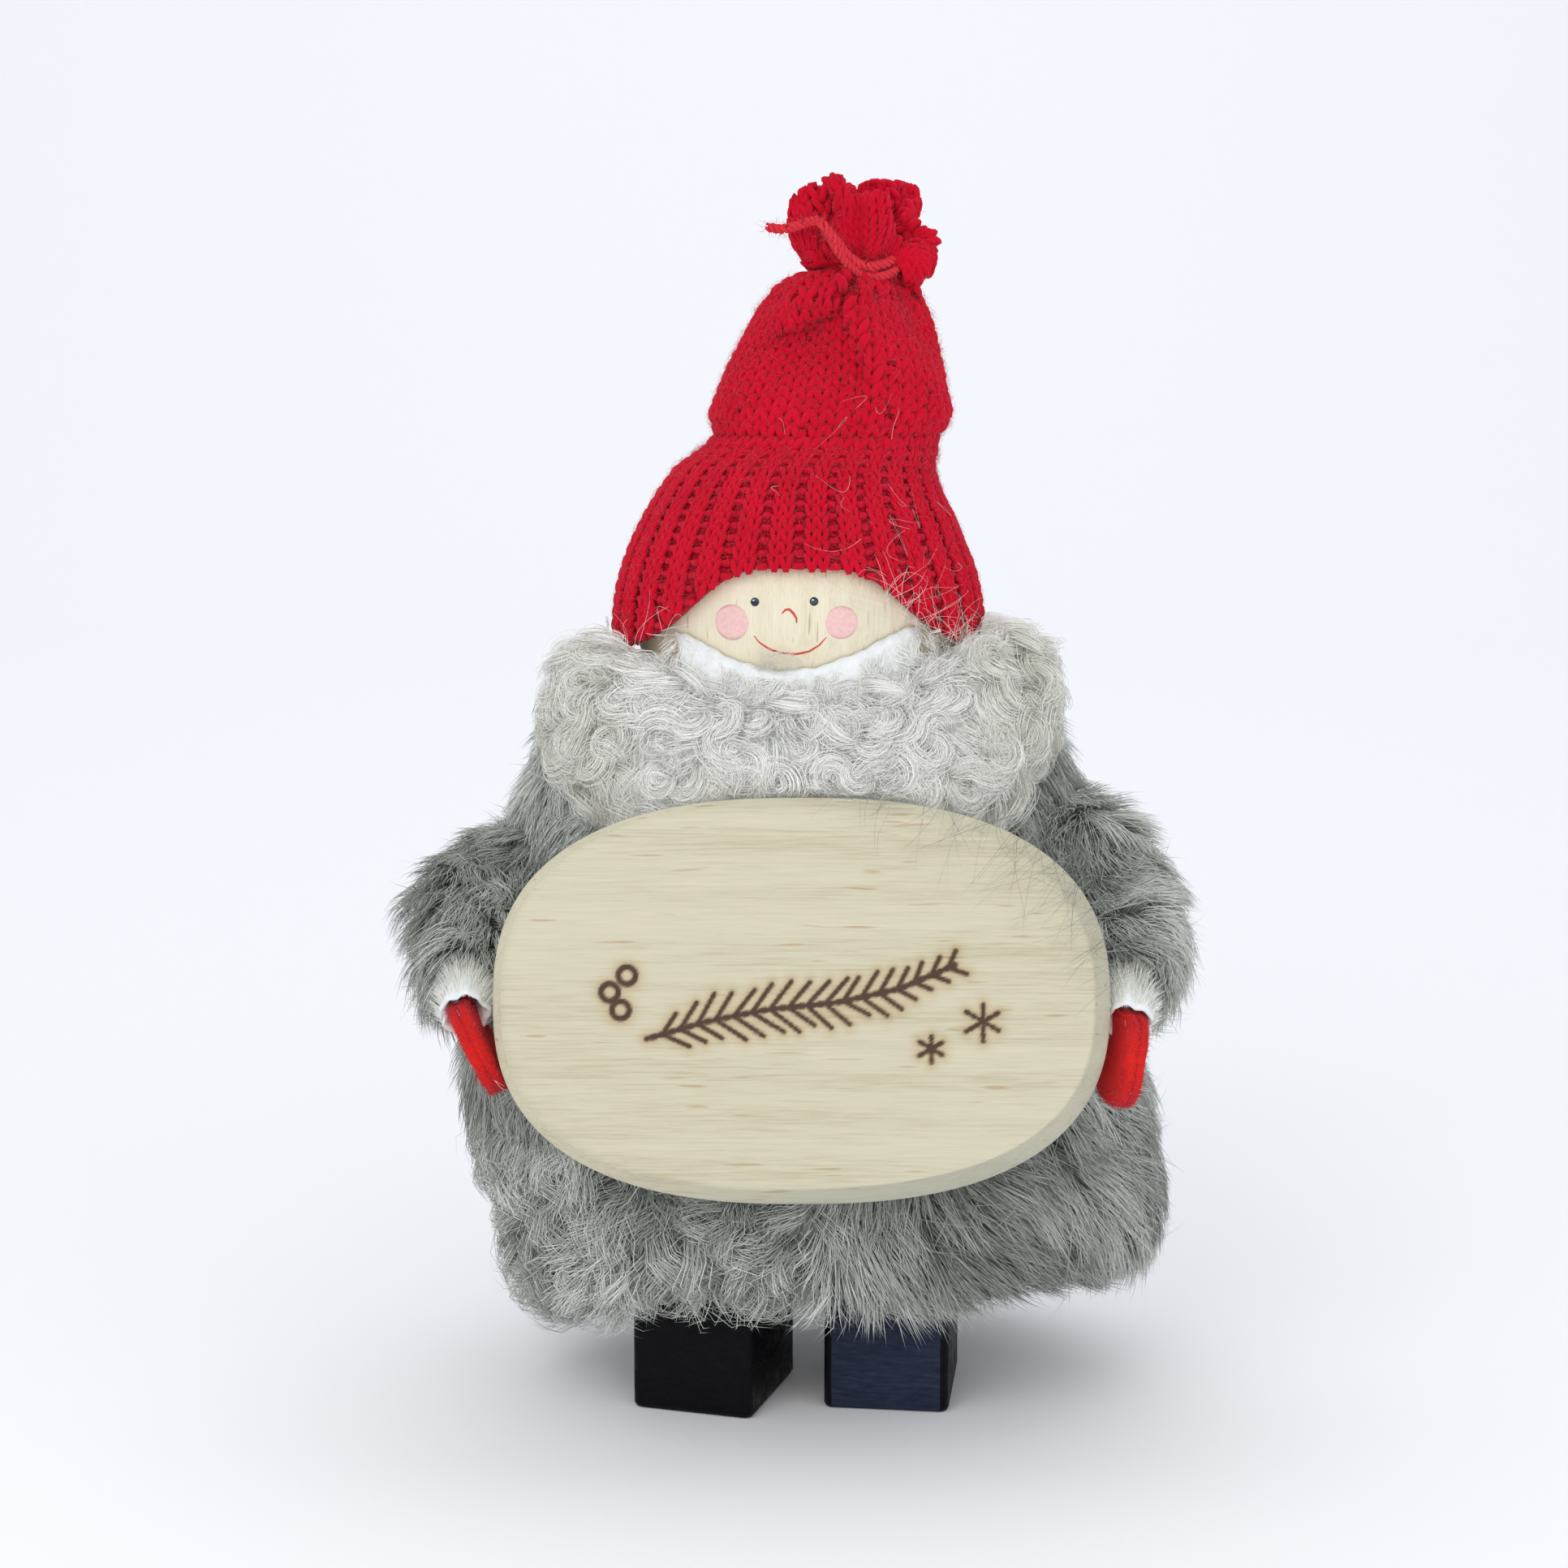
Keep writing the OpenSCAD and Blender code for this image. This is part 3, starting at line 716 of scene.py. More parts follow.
def coat_lift(points, normals):
    return 0.72 - 0.25 * smoothstep((30 - points[:, 2]) / 8)


def coat_curl(points, normals):
    return 1.1 + 2.1 * front_left(points) - 0.5 * front_right(points)


def coat_turns(points, normals):
    return 0.35 + 0.5 * front_left(points) - 0.15 * front_right(points)


def pelt(name, skin, material, rows, columns, stands_for):
    u = np.linspace(0, 360, columns, endpoint=False)
    v = np.linspace(0.0, 1.0, rows)
    uu, vv = np.meshgrid(u, v)
    points, normals, _, _ = surface_frame(skin, uu, np.clip(vv, 0.002, 0.998))
    points = points + normals * (0.5 * waves(points, 5, 21))[..., None]
    points = keep_clear(points - normals * 0.4, False)
    flat, quads, tris = capped_skin(points)
    return add_piece(name, flat, quads, tris, [material], stands_for=stands_for)


pelt("coat_hide", coat_skin, GREY_PELT, 90, 160, stands_for=["fur_coat"])
paths, radii, tones = grow(coat_skin, int(COAT_HAIRS * FULL), coat_comb, coat_length, coat_lift, coat_curl,
                           coat_turns, 0.12, coat_tone, in_view, clump=4.2, tight=0.34)
strand_pieces("coat_fur", paths, radii, tones, GREY_FUR)
paths, radii, tones = curl_locks(coat_skin, OVERLAP_LOCKS, int(HAIRS_PER_OVERLAP_LOCK * FULL), coat_comb,
                                 16, 3.0, 0.09, lambda p, n: 4.4 + waves(p, 14, 12),
                                 lambda p, n: 0.001 + front_left(p))
strand_pieces("coat_overlap_curls", paths, radii, tones, GREY_FUR)


def sleeve_comb(side):
    def comb(points, normals):
        swirl = waves(points, 22, 31)
        forward = np.array([side * 0.35, -0.75, -0.75])
        return forward + swirl[:, None] * np.array([0.6, 0.2, 0.5])
    return comb


for side, word in ((-1, "left"), (1, "right")):
    skin = tube_skin(sleeve_rows(side))
    pelt(f"{word}_sleeve_hide", skin, GREY_PELT, 40, 48, [f"{word}_fur_sleeve"])
    paths, radii, tones = grow(
        skin, int(SLEEVE_HAIRS * FULL), sleeve_comb(side), 10.5, 0.75, 1.3, 0.4, 0.115,
        lambda p, n: 3.3 + 0.4 * side + 1.2 * waves(p, 22, 35 + side) + 0.4 * waves(p, 10, 36),
        in_view, clump=4.2, tight=0.34)
    strand_pieces(f"{word}_sleeve_fur", paths, radii, tones, GREY_FUR)


def beard_comb(points, normals):
    swirl = waves(points, 24, 51)
    lean = waves(points, 17, 54)
    spread_out = np.clip(points[:, 0] / 30, -1, 1)[:, None] * np.array([0.55, 0, 0])
    return np.array([0, -0.3, -0.8]) + spread_out + swirl[:, None] * np.array([0.9, 0.1, 0.2]) \
        + lean[:, None] * np.array([0.1, 0, 0.6])


def beard_tone_with_painted_shade(points, normals):
    # Painted shade: the outer sides and the lower edge are made darker and the middle lighter, as light falls
    # on the beard; the waves are its own tone.
    outer = smoothstep((np.abs(points[:, 0]) - 24) / 20)
    centre = np.exp(-(points[:, 0] / 26) ** 2)
    return (4.2 + 0.3 * waves(points, 16, 52) - 2.5 * outer + 0.9 * centre
            - 0.7 * smoothstep((110 - points[:, 2]) / 7))


def beard_front(points, normals):
    """All of the strands where the beard faces forward, and a few on its back."""
    return 0.3 + 0.7 * (normals[:, 1] < 0.4)


beard_skin = tube_skin([[x, y + AXIS_Y, z, a, b] for x, y, z, a, b in BEARD_ROWS])
pelt("beard_hide", beard_skin, WHITE_PELT, 70, 48, ["curly_beard"])
paths, radii, tones = grow(beard_skin, int(BEARD_DOWN_HAIRS * FULL), beard_comb, 6.0, 0.85, 1.6, 0.6, 0.09,
                           beard_tone_with_painted_shade, beard_front, clump=5, tight=0.3, root_tone=-0.3, tip_tone=0.7,
                           spread=0.4, lock_mix=0.3)
strand_pieces("beard_down", paths, radii, tones, WHITE_FUR)
paths, radii, tones = curl_locks(beard_skin, BEARD_LOCKS, int(HAIRS_PER_BEARD_LOCK * FULL), beard_comb,
                                 13.5, 3.8, 0.08, beard_tone_with_painted_shade, beard_front)
strand_pieces("beard_curls", paths, radii, tones, WHITE_FUR)


# ---------------------------------------------------------------- head and painted face

def ball_point(azimuth, height, r):
    """A point on the head at degrees right of the front and degrees up."""
    a, h = np.radians(azimuth), np.radians(height)
    direction = np.stack([np.sin(a) * np.cos(h), -np.cos(a) * np.cos(h), np.sin(h)], axis=-1)
    return HEAD + np.asarray(r)[..., None] * direction


def make_head():
    birch = birch_material("birch_ball_wood", srgb(226, 218, 193), srgb(214, 204, 176), "Z", 1.4)
    rows, columns = 72, 128
    h = np.linspace(-66, 89.0, rows)
    a = np.linspace(0, 360, columns, endpoint=False)
    aa, hh = np.meshgrid(a, h)
    points = ball_point(aa, hh, HEAD_R)
    flat, quads, tris = capped_skin(points)
    add_piece("birch_head", flat, quads, tris, [birch], stands_for=["head_ball"])


def paint_film(name, outline, material, film=0.06):
    """A closed film of paint on the ball. outline(s, t) gives (azimuth, height), s across and t along."""
    across, along = 9, 40
    s, t = np.meshgrid(np.linspace(-1, 1, across), np.linspace(0, 1, along))
    azimuth, height = outline(s, t)
    edge = np.clip(1 - np.abs(s) ** 4, 0.0, 1)
    top = ball_point(azimuth, height, 1.0) - HEAD
    outer = HEAD + top * (HEAD_R + 0.01 + film * edge)[..., None]
    inner = HEAD + top * (HEAD_R - 0.05)
    ring = np.concatenate([outer, inner[:, ::-1]], axis=1)
    flat, quads, tris = capped_skin(ring)
    add_piece(name, flat, quads, tris, [material])


def disc(azimuth, height, radius):
    """Outline of a round dab, radius in degrees."""
    def outline(s, t):
        x = 2 * t - 1
        y = s * np.sqrt(np.clip(1 - x * x, 0.0004, 1))
        return azimuth + radius * x, height + radius * y
    return outline


def stroke(points, width):
    """Outline of a brush stroke through (azimuth, height) points, width in degrees, thin at both ends."""
    line = table_curve([[a, h, 0] for a, h in points], passes=1)

    def outline(s, t):
        here = line(t)
        ahead = unit((line(np.clip(t + 0.02, 0, 1)) - line(np.clip(t - 0.02, 0, 1)))[..., :2])
        wide = width * (0.25 + 0.75 * np.sin(np.pi * np.clip(t, 0.02, 0.98)) ** 0.5)
        return here[..., 0] - ahead[..., 1] * s * wide, here[..., 1] + ahead[..., 0] * s * wide
    return outline


def paint(name, colour, roughness=0.35):
    material, tree, base = shader(name, srgb(*colour), roughness, 0.5)
    dabs = noise(tree, place(tree), 1.6, 4, 0.6)
    darker = [c * 0.86 for c in srgb(*colour)]
    colour_by(tree, base, dabs, [(0.35, darker), (0.65, srgb(*colour))])
    return material


def make_face():
    pink = paint("pink_cheek_paint", (240, 196, 193), 0.5)
    red = paint("red_line_paint", (206, 58, 48))
    navy = paint("eye_paint", (30, 42, 58), 0.2)
    white = paint("eye_glint_paint", (225, 232, 236), 0.2)
    # Each eye gets a small white dot offset up and to the left: a painted highlight.
    for word, azimuth, height in (("left", -14.9, 4.7), ("right", 4.8, 5.0)):
        paint_film(f"{word}_eye", disc(azimuth, height, 1.45), navy, 0.12)
        paint_film(f"{word}_eye_glint", disc(azimuth - 0.4, height + 0.5, 0.35), white, 0.17)
    paint_film("left_cheek", disc(-23.1, -2.3, 6.0), pink, 0.03)
    paint_film("right_cheek", disc(14.1, -2.1, 5.5), pink, 0.03)
    paint_film("nose_line", stroke([(-5.8, 1.0), (-4.6, 2.3), (-3.3, 2.4), (-1.9, 1.0), (-1.0, -0.6),
                                    (-0.9, -2.1)], 0.42), red)
    paint_film("smile_line", stroke([(-15.2, -6.6), (-13.6, -8.7), (-10.6, -10.7), (-6.6, -12.2),
                                     (-1.6, -12.7), (3.2, -11.7), (6.6, -9.6), (8.9, -7.0)], 0.38), red)


make_head()
make_face()


# ---------------------------------------------------------------- hide edge under the chin

def make_chin_strip():
    """The smooth cut edge of the beard's hide, which lies against the ball below the smile."""
    line = table_curve([
        [-47, -6.5, 0], [-42, -8.2, 0], [-37, -10, 0], [-26, -15.5, 0], [-15, -19, 0], [-5, -20.5, 0],
        [6, -19, 0], [18, -15, 0], [28, -10.5, 0], [36, -7, 0], [42, -5.6, 0], [46, -4.8, 0]], passes=1)
    rows = 90
    t = np.linspace(0, 1, rows)
    here = line(t)
    profile = [(2.2, 0.2), (2.4, 0.7), (1.8, 1.3), (0, 1.8), (-3, 2.6), (-7, 3.4), (-11, 4.0), (-11, 2.6),
               (-3, 1.0), (1.4, 0.12)]
    rings = []
    taper = 0.04 + 0.96 * smoothstep(t / 0.1) * smoothstep((1 - t) / 0.1)
    for up, out in profile:
        ripple = 0.25 * np.sin(t * 41) + 0.2 * np.sin(t * 97 + 1)
        rings.append(ball_point(here[:, 0], here[:, 1] + up * taper + ripple, HEAD_R + 0.2 + out * taper))
    points = np.stack(rings, axis=1)
    flat, quads, tris = capped_skin(points)
    add_piece("chin_hide_edge", flat, quads, tris, [HIDE])

    def edge_skin(u, v):
        at = line(v)
        up = 1.0 - 11.5 * (np.asarray(u) / 360)
        return ball_point(at[..., 0], at[..., 1] + up, HEAD_R + 1.6 + 2.2 * np.asarray(u) / 360)

    def edge_comb(points, normals):
        swirl = waves(points, 18, 61)
        aside = np.clip(points[:, 0] / 24, -1, 1) * 0.7 + 0.7 * swirl
        return np.array([0, -0.2, -1.0]) + aside[:, None] * np.array([1.0, 0, 0.3])

    paths, radii, tones = grow(edge_skin, int(7000 * FULL), edge_comb,
                               lambda p, n: 3.5 + 4 * smoothstep((HEAD[2] - 12 - p[:, 2]) / 10),
                               0.6, 1.0, 0.5, 0.075,
                               lambda p, n: 4.3 + 0.4 * waves(p, 9, 62),
                               lambda p, n: 0.1 + smoothstep((HEAD[2] - 8.5 - p[:, 2]) / 5),
                               clump=5, tight=0.35, root_tone=-0.6, tip_tone=0.6, flyaway=0.1)
    strand_pieces("chin_hair", paths, radii, tones, WHITE_FUR)


make_chin_strip()


# ---------------------------------------------------------------- sign

def superellipse(a, b, t):
    c, s = np.cos(t), np.sin(t)
    return np.stack([a * np.sign(c) * np.abs(c) ** (2 / SIGN_POWER),
                     b * np.sign(s) * np.abs(s) ** (2 / SIGN_POWER)], axis=-1)


def sprig_strokes():
    """Burned strokes of a fir sprig with berries and two small stars: lists of (x, y) points and a width."""
    strokes = []
    stem = np.array([(-27, -6.5), (-17, -3.6), (-6, -1.4), (6, -0.2), (17, 2.2), (27, 6.5)], float)
    curve = table_curve([[x, y, 0] for x, y in stem], passes=1)
    strokes.append((curve(np.linspace(0, 1, 60))[:, :2], 0.5))
    for t in np.linspace(0.05, 0.97, 17):
        here = curve(np.array(t))[:2]
        ahead = unit(curve(np.array(min(t + 0.02, 1)))[:2] - curve(np.array(max(t - 0.02, 0)))[:2])
        across = np.array([-ahead[1], ahead[0]])
        for hand in (-1, 1):
            size = 6.6 * (0.55 + 0.45 * math.sin(math.pi * min(t + 0.12, 1))) * rng.uniform(0.85, 1.1)
            tip = here + size * unit(ahead * 0.9 + hand * across * rng.uniform(0.75, 1.0))
            strokes.append((np.linspace(here, tip, 12), 0.38))
    for x, y in ((-30.5, 4.5), (-33.5, 1.6), (-31.6, -1.5)):
        turn = np.linspace(0, 2 * math.pi, 30)
        strokes.append((np.stack([x + 1.5 * np.cos(turn), y + 1.5 * np.sin(turn)], -1), 0.45))
    for x, y, size in ((31.5, -3.5, 3.4), (22.5, -8.2, 2.5)):
        for turn in np.radians([90, 30, -30]):
            step = size * np.array([math.cos(turn), math.sin(turn)])
            strokes.append((np.array([[x, y] - step, [x, y] + step]), 0.4))
    return strokes


def burn_field(x, y):
    """How deep the burn is at each point of the face, from 0 to 1, and the scorch round it."""
    char = np.zeros_like(x)
    scorch = np.zeros_like(x)
    for line, width in sprig_strokes():
        dense = np.concatenate([np.linspace(a, b, max(2, int(np.linalg.norm(b - a) / 0.35)) + 1)[:-1]
                                for a, b in zip(line[:-1], line[1:])])
        pressure = width * (0.8 + 0.45 * np.abs(np.sin(np.arange(len(dense)) * 0.9 + rng.uniform(0, 6))))
        for (px, py), wide in zip(dense, pressure):
            near = (np.abs(x - px) < 3) & (np.abs(y - py) < 3)
            away = np.hypot(x[near] - px, y[near] - py)
            char[near] = np.maximum(char[near], smoothstep((wide - away) / 0.35 + 0.5))
            scorch[near] = np.maximum(scorch[near], np.exp(-(away / (wide + 0.85)) ** 2))
    return char, scorch


def make_sign():
    wood = birch_material("birch_board_wood", srgb(199, 193, 168), srgb(183, 175, 146), "X", 1.0, "burn")
    columns, rows = ((300, 200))
    u, v = np.meshgrid(np.linspace(-1, 1, columns + 1), np.linspace(-1, 1, rows + 1))
    largest = np.maximum(np.abs(u), np.abs(v))
    shape = (np.abs(u) ** SIGN_POWER + np.abs(v) ** SIGN_POWER) ** (1 / SIGN_POWER)
    scale = np.where(shape > 0, largest / np.maximum(shape, 1e-9), 1)
    bevel = 3.4
    x = u * scale * (SIGN_W / 2 - bevel)
    y = v * scale * (SIGN_H / 2 - bevel)
    char, scorch = burn_field(x, y)
    sunk = -0.18 * char + 0.03 * waves(np.stack([x * 0.2, y, 0 * x], -1), 7, 71)
    face = SIGN_FRONT + x[..., None] * SIGN_RIGHT + y[..., None] * SIGN_UP + sunk[..., None] * SIGN_OUT
    quads = [grid_quads(rows + 1, columns + 1, False)]
    index = np.arange((rows + 1) * (columns + 1)).reshape(rows + 1, columns + 1)
    rim = np.concatenate([index[0, :-1], index[:-1, -1], index[-1, :0:-1], index[:0:-1, 0]])
    count = len(rim)
    rim_xy = np.stack([x.ravel()[rim], y.ravel()[rim]], -1)
    reach = rim_xy / np.array([SIGN_W / 2 - bevel, SIGN_H / 2 - bevel])
    angle = np.arctan2(rim_xy[:, 1], rim_xy[:, 0])
    wide = 2.4 + 1.0 * np.cos(angle + math.radians(45)) + 0.12 * np.sin(5 * angle)
    points = [face.reshape(-1, 3)]
    profile = [(0.06, 0.02), (0.14, 0.12), (0.55, 0.6), (0.92, 0.95), (1.0, 1.1)]
    rings = [(bevel - wide * (1 - out), down * wide) for out, down in profile]
    previous = rim
    base = len(points[0])
    back_rings = [(np.full(count, bevel - inset), np.full(count, depth))
                  for inset, depth in ((0, SIGN_T - 1.2), (0.35, SIGN_T - 0.35), (1.2, SIGN_T))]
    for grown, down in rings + back_rings:
        half = np.array([SIGN_W / 2 - bevel, SIGN_H / 2 - bevel]) + grown[:, None]
        ring_xy = reach * half
        ring = (SIGN_FRONT + ring_xy[:, :1] * SIGN_RIGHT + ring_xy[:, 1:] * SIGN_UP
                - down[:, None] * SIGN_OUT)
        points.append(ring)
        current = base + np.arange(count)
        quads.append(np.stack([previous, current, np.roll(current, -1), np.roll(previous, -1)], -1))
        previous = current
        base += count
    points.append((SIGN_FRONT - SIGN_T * SIGN_OUT)[None])
    tris = np.stack([previous, np.full(count, base), np.roll(previous, -1)], -1)
    piece = add_piece("birch_sign", np.concatenate(points), np.concatenate(quads), tris, [wood],
                      stands_for=["oval_sign"])
    colour = np.ones((base + 1, 4))
    tan, brown = np.array([0.80, 0.60, 0.38]), np.array([0.10, 0.055, 0.035])
    s = (scorch.ravel() * 0.75)[:, None]
    c = char.ravel()[:, None]
    shade = (1 - s) + s * tan
    colour[:len(shade), :3] = shade * (1 - c) + brown * c
    # painted shade: the bevel and edge rings grow darker towards the lower right
    lower_right_shading = np.clip(np.cos(angle + math.radians(55)), 0, 1)
    rim_painted_shade = 1.0 - np.outer(lower_right_shading, 1 - BEVEL_PAINTED_SHADE)
    colour[len(shade):-1, :3] = np.tile(rim_painted_shade, (len(profile) + len(back_rings), 1))
    layer = piece.data.color_attributes.new("burn", "FLOAT_COLOR", "POINT")
    layer.data.foreach_set("color", colour.astype(np.float32).ravel())


make_sign()


# ---------------------------------------------------------------- hat

# Height, middle in x, half width and half depth of the knitted fabric, from the dome up to the tie.
HAT_ROWS = [
    [138, 0, 34.5, 34.5], [141, 0, 34.5, 34.5], [147, 0, 34.3, 34.3], [152, -0.1, 33.7, 33.8],
    [156.5, -0.1, 32.6, 32.9], [161, -0.2, 30.9, 31.4], [165.6, 0, 28.9, 29.7], [170, 0.1, 26.5, 27.4],
    [175, 1.0, 24.1, 24.6], [178, 3.2, 22.5, 21.6], [181, 4.9, 22.0, 19.6], [186, 6, 21.9, 17.9],
    [193, 7, 20.0, 15.8], [200, 7.5, 17.1, 13.7], [205, 7.7, 14.7, 11.8], [208.8, 8.3, 12.0, 9.6],
    [211.2, 9.5, 9.2, 7.4], [212.8, 11.2, 5.4, 5.2], [213.6, 12, 4.3, 4.3], [216, 12, 4.3, 4.3],
]
hat_z = np.arange(138, 216, 0.25)
hat_table = np.array(HAT_ROWS)
hat_rows = np.stack([np.interp(hat_z, hat_table[:, 0], hat_table[:, k]) for k in (1, 2, 3)])
for _ in range(24):
    hat_rows[:, 1:-1] = (hat_rows[:, :-2] + 2 * hat_rows[:, 1:-1] + hat_rows[:, 2:]) / 4
DOME_TOP = 180.0


def hat_section(z):
    return [np.interp(z, hat_z, row) for row in hat_rows]


# The two lobes that meet at the tie: (x, z) along the lower edge of the left one, and (z, x) along the
# inner edge of the right one.
LEFT_LOBE = [(-9, 197), (-4, 200), (1.3, 202), (7.3, 204.5), (9.9, 210.5)]
RIGHT_LOBE = [(186, 13.5), (191, 12.8), (196, 11.4), (204.5, 7.9), (210.5, 10.4)]


def fold_depth(x, z):
    """How far the middle of the front is pushed in below the two lobes."""
    lobe_z = np.interp(x, *zip(*LEFT_LOBE))
    lobe_x = np.interp(z, *zip(*RIGHT_LOBE))
    below = smoothstep((lobe_z - z) / 2.6 + 0.35)
    left_of = smoothstep((lobe_x - x) / 2.6 + 0.35)
    fade = smoothstep((z - 182) / 18) * smoothstep((x + 13) / 13) * smoothstep((212.5 - z) / 3)
    lobes = 1.1 * np.exp(-((z - lobe_z - 3) / 3) ** 2) + 1.0 * np.exp(-((x - lobe_x - 3.4) / 3.2) ** 2)
    seam = 1.6 * np.exp(-((x - np.interp(z, [203, 211], [7.4, 10.0])) / 0.9) ** 2) * smoothstep((z - 202) / 3)
    return (3.4 * below * left_of + seam - lobes * (1 - below * left_of)) * fade


def hat_skin(u, z, inset=0.0):
    """The hat's fabric at angle u and height z, with the soft folds of the point."""
    x0, a, b = hat_section(z)
    point = smoothstep((z - 190) / 16)
    pleat = 0.06 * point * np.cos(np.radians(5 * u + 20)) + 0.04 * point * np.cos(np.radians(9 * u + 70))
    slack = 0.025 * smoothstep((z - 176) / 8) * np.cos(np.radians(3 * u + 40) + (z - 180) / 7)
    crease = 0.06 * np.exp(-((z - 181.0) / 2.2) ** 2)
    grow_out = 1 + pleat + slack - crease
    angle = np.radians(u)
    facing = np.clip(-np.sin(angle), 0, 1) ** 0.7
    x = x0 + (a * grow_out - inset) * np.cos(angle)
    y = AXIS_Y + (b * grow_out - inset) * np.sin(angle) + facing * fold_depth(x, z)
    return np.stack([x, y, z + 0 * u], axis=-1)


def hat_frame(u, z):
    point = hat_skin(u, z)
    side = unit(hat_skin(u + 0.5, z) - hat_skin(u - 0.5, z))
    up = unit(hat_skin(u, z + 0.4) - hat_skin(u, z - 0.4))
    return point, side, up, unit(np.cross(side, up))


def legs(point, side, up, out, width, height, radius, lift):
    """The two legs of a knit stitch at each place, as paths and radii."""
    shape = np.array([[0.06, -0.30, -0.5], [0.14, 0.05, 0.15], [0.26, 0.40, 0.45], [0.38, 0.75, 0.35],
                      [0.47, 1.05, -0.15], [0.5, 1.25, -0.7]])
    thick = np.array([0.55, 0.95, 1.0, 0.95, 0.7, 0.2])
    paths, radii = [], []
    for hand in (-1, 1):
        s = hand * shape[:, 0][None, :, None] * width[:, None, None] * side[:, None]
        u = shape[:, 1][None, :, None] * height[:, None, None] * up[:, None]
        o = (shape[:, 2][None, :] * radius[:, None] + lift[:, None])[..., None] * out[:, None]
        paths.append(point[:, None] + s + u + o)
        radii.append(radius[:, None] * thick[None, :])
    return np.concatenate(paths), np.concatenate(radii)


def column_heights(u, start, end, pitch):
    """Heights of stitches `pitch` apart along the fabric at angle u, from start up to end."""
    z = np.linspace(start, end, 200)
    line = hat_skin(np.full(200, u), z)
    run = np.concatenate([[0], np.cumsum(np.linalg.norm(np.diff(line, axis=0), axis=1))])
    count = max(1, int(round(run[-1] / pitch)))
    return np.interp((np.arange(count) + 0.15) * run[-1] / count, run, z), run[-1] / count


def stitch_columns(places, pitch):
    """Angle, height and pitch of every stitch of the columns that places lists as (angle, start, end)."""
    u, z, tall = [], [], []
    for angle, start, end in places:
        heights, gap = column_heights(angle, start, end, pitch)
        u += [angle] * len(heights)
        z += list(heights)
        tall += [gap] * len(heights)
    return np.array(u), np.array(z), np.array(tall)


def knit_pieces(name, paths, radii):
    """Stitches of one red yarn, on the hat."""
    strand_pieces(name, paths, radii, np.zeros((len(paths), 5)), [HAT_WOOL], body="hat", sides=6)


def make_hat():
    ribs, row_pitch = 30, 2.35
    rib_places, groove_places = [], []
    for rib in range(ribs):
        centre = 360 * rib / ribs
        for offset in (-0.155, 0.155):
            u = centre + offset * 360 / ribs
            rib_places.append((u, float(brim_height(u)) + 0.4, DOME_TOP + 1.5))
        u = centre + 180 / ribs
        groove_places.append((u, float(brim_height(u)) + 0.8, DOME_TOP))
    u, z, tall = stitch_columns(rib_places, row_pitch)
    point, side, up, out = hat_frame(u, z)
    _, a, _ = hat_section(z)
    width = np.radians(0.31 * 360 / ribs) * a
    fade = smoothstep((DOME_TOP + 2 - z) / 14)
    paths, radii = legs(point, side, up, out, width * 1.04, tall, width * 0.27, 0.45 * fade - 0.35)
    # purl bumps, one across each row of the groove
    pu, pz, _ = stitch_columns(groove_places, row_pitch)
    point, side, up, out = hat_frame(pu, pz)
    _, a, _ = hat_section(pz)
    reach = np.radians(360 / ribs * 0.2) * a
    across = np.linspace(-1, 1, 6)
    arc = (1 - across ** 2) * 0.4 - 0.7
    bumps = point[:, None] + across[None, :, None] * reach[:, None, None] * side[:, None] \
        + arc[None, :, None] * out[:, None]
    bump_radii = np.tile(np.array([0.4, 0.62, 0.68, 0.68, 0.62, 0.3]), (len(bumps), 1))
    paths = np.concatenate([paths, bumps])
    radii = np.concatenate([radii, bump_radii])
    knit_pieces("hat_rib_stitches", paths, radii)

    # plain knitting of the point
    columns = 44
    places = [(360 * column / columns + 2, DOME_TOP - 0.5, 211.0 if column % 2 else 206.0)
              for column in range(columns)]
    u, z, tall = stitch_columns(places, 2.45)
    point, side, up, out = hat_frame(u, z)
    step = np.linalg.norm(hat_skin(u + 0.5, z) - hat_skin(u - 0.5, z), axis=-1)
    width = step * (360 / columns) * np.where(z > 206, 1.6, 1.0)
    paths, radii = legs(point, side, up, out, width, tall, np.minimum(width * 0.27, 0.9),
                        np.full(len(u), -0.3))
    knit_pieces("hat_plain_stitches", paths, radii)

    # the fabric under the stitches, as a thin closed skin in the darker red of painted shade
    columns, rows = 240, 90
    u = np.linspace(0, 360, columns, endpoint=False)
    outer, inner = [], []
    for t in np.linspace(0, 1, rows):
        z = brim_height(u) + 0.6 + (213.4 - brim_height(u) - 0.6) * t
        rib = 0.55 * np.cos(np.radians(u * ribs)) * smoothstep((DOME_TOP + 1 - z) / 8)
        sunk = 0.62 - rib * 0.5
        outer.append(hat_skin(u, z, sunk))
        hollow = hat_skin(u, z, 2.3)
        rel = hollow - HEAD
        away = np.linalg.norm(rel, axis=-1, keepdims=True)
        hollow = np.where(away < HEAD_R + 0.45, HEAD + unit(rel) * (HEAD_R + 0.45), hollow)
        low = z < HEAD[2]
        flat = np.hypot(hollow[:, 0] - HEAD[0], hollow[:, 1] - HEAD[1])
        grow_by = np.where(low & (flat < HEAD_R + 0.45), (HEAD_R + 0.45) / flat, 1)
        hollow[:, :2] = HEAD[:2] + (hollow[:, :2] - HEAD[:2]) * grow_by[:, None]
        inner.append(hollow)
    turn_at = int(rows * 0.93)
    rings = np.array(inner[turn_at::-1] + outer)
    flat, quads, tris = capped_skin(rings)
    add_piece("hat_fabric", flat, quads, tris, [HAT_PAINTED_SHADE], body="hat",
              stands_for=["knitted_hat"])


make_hat()


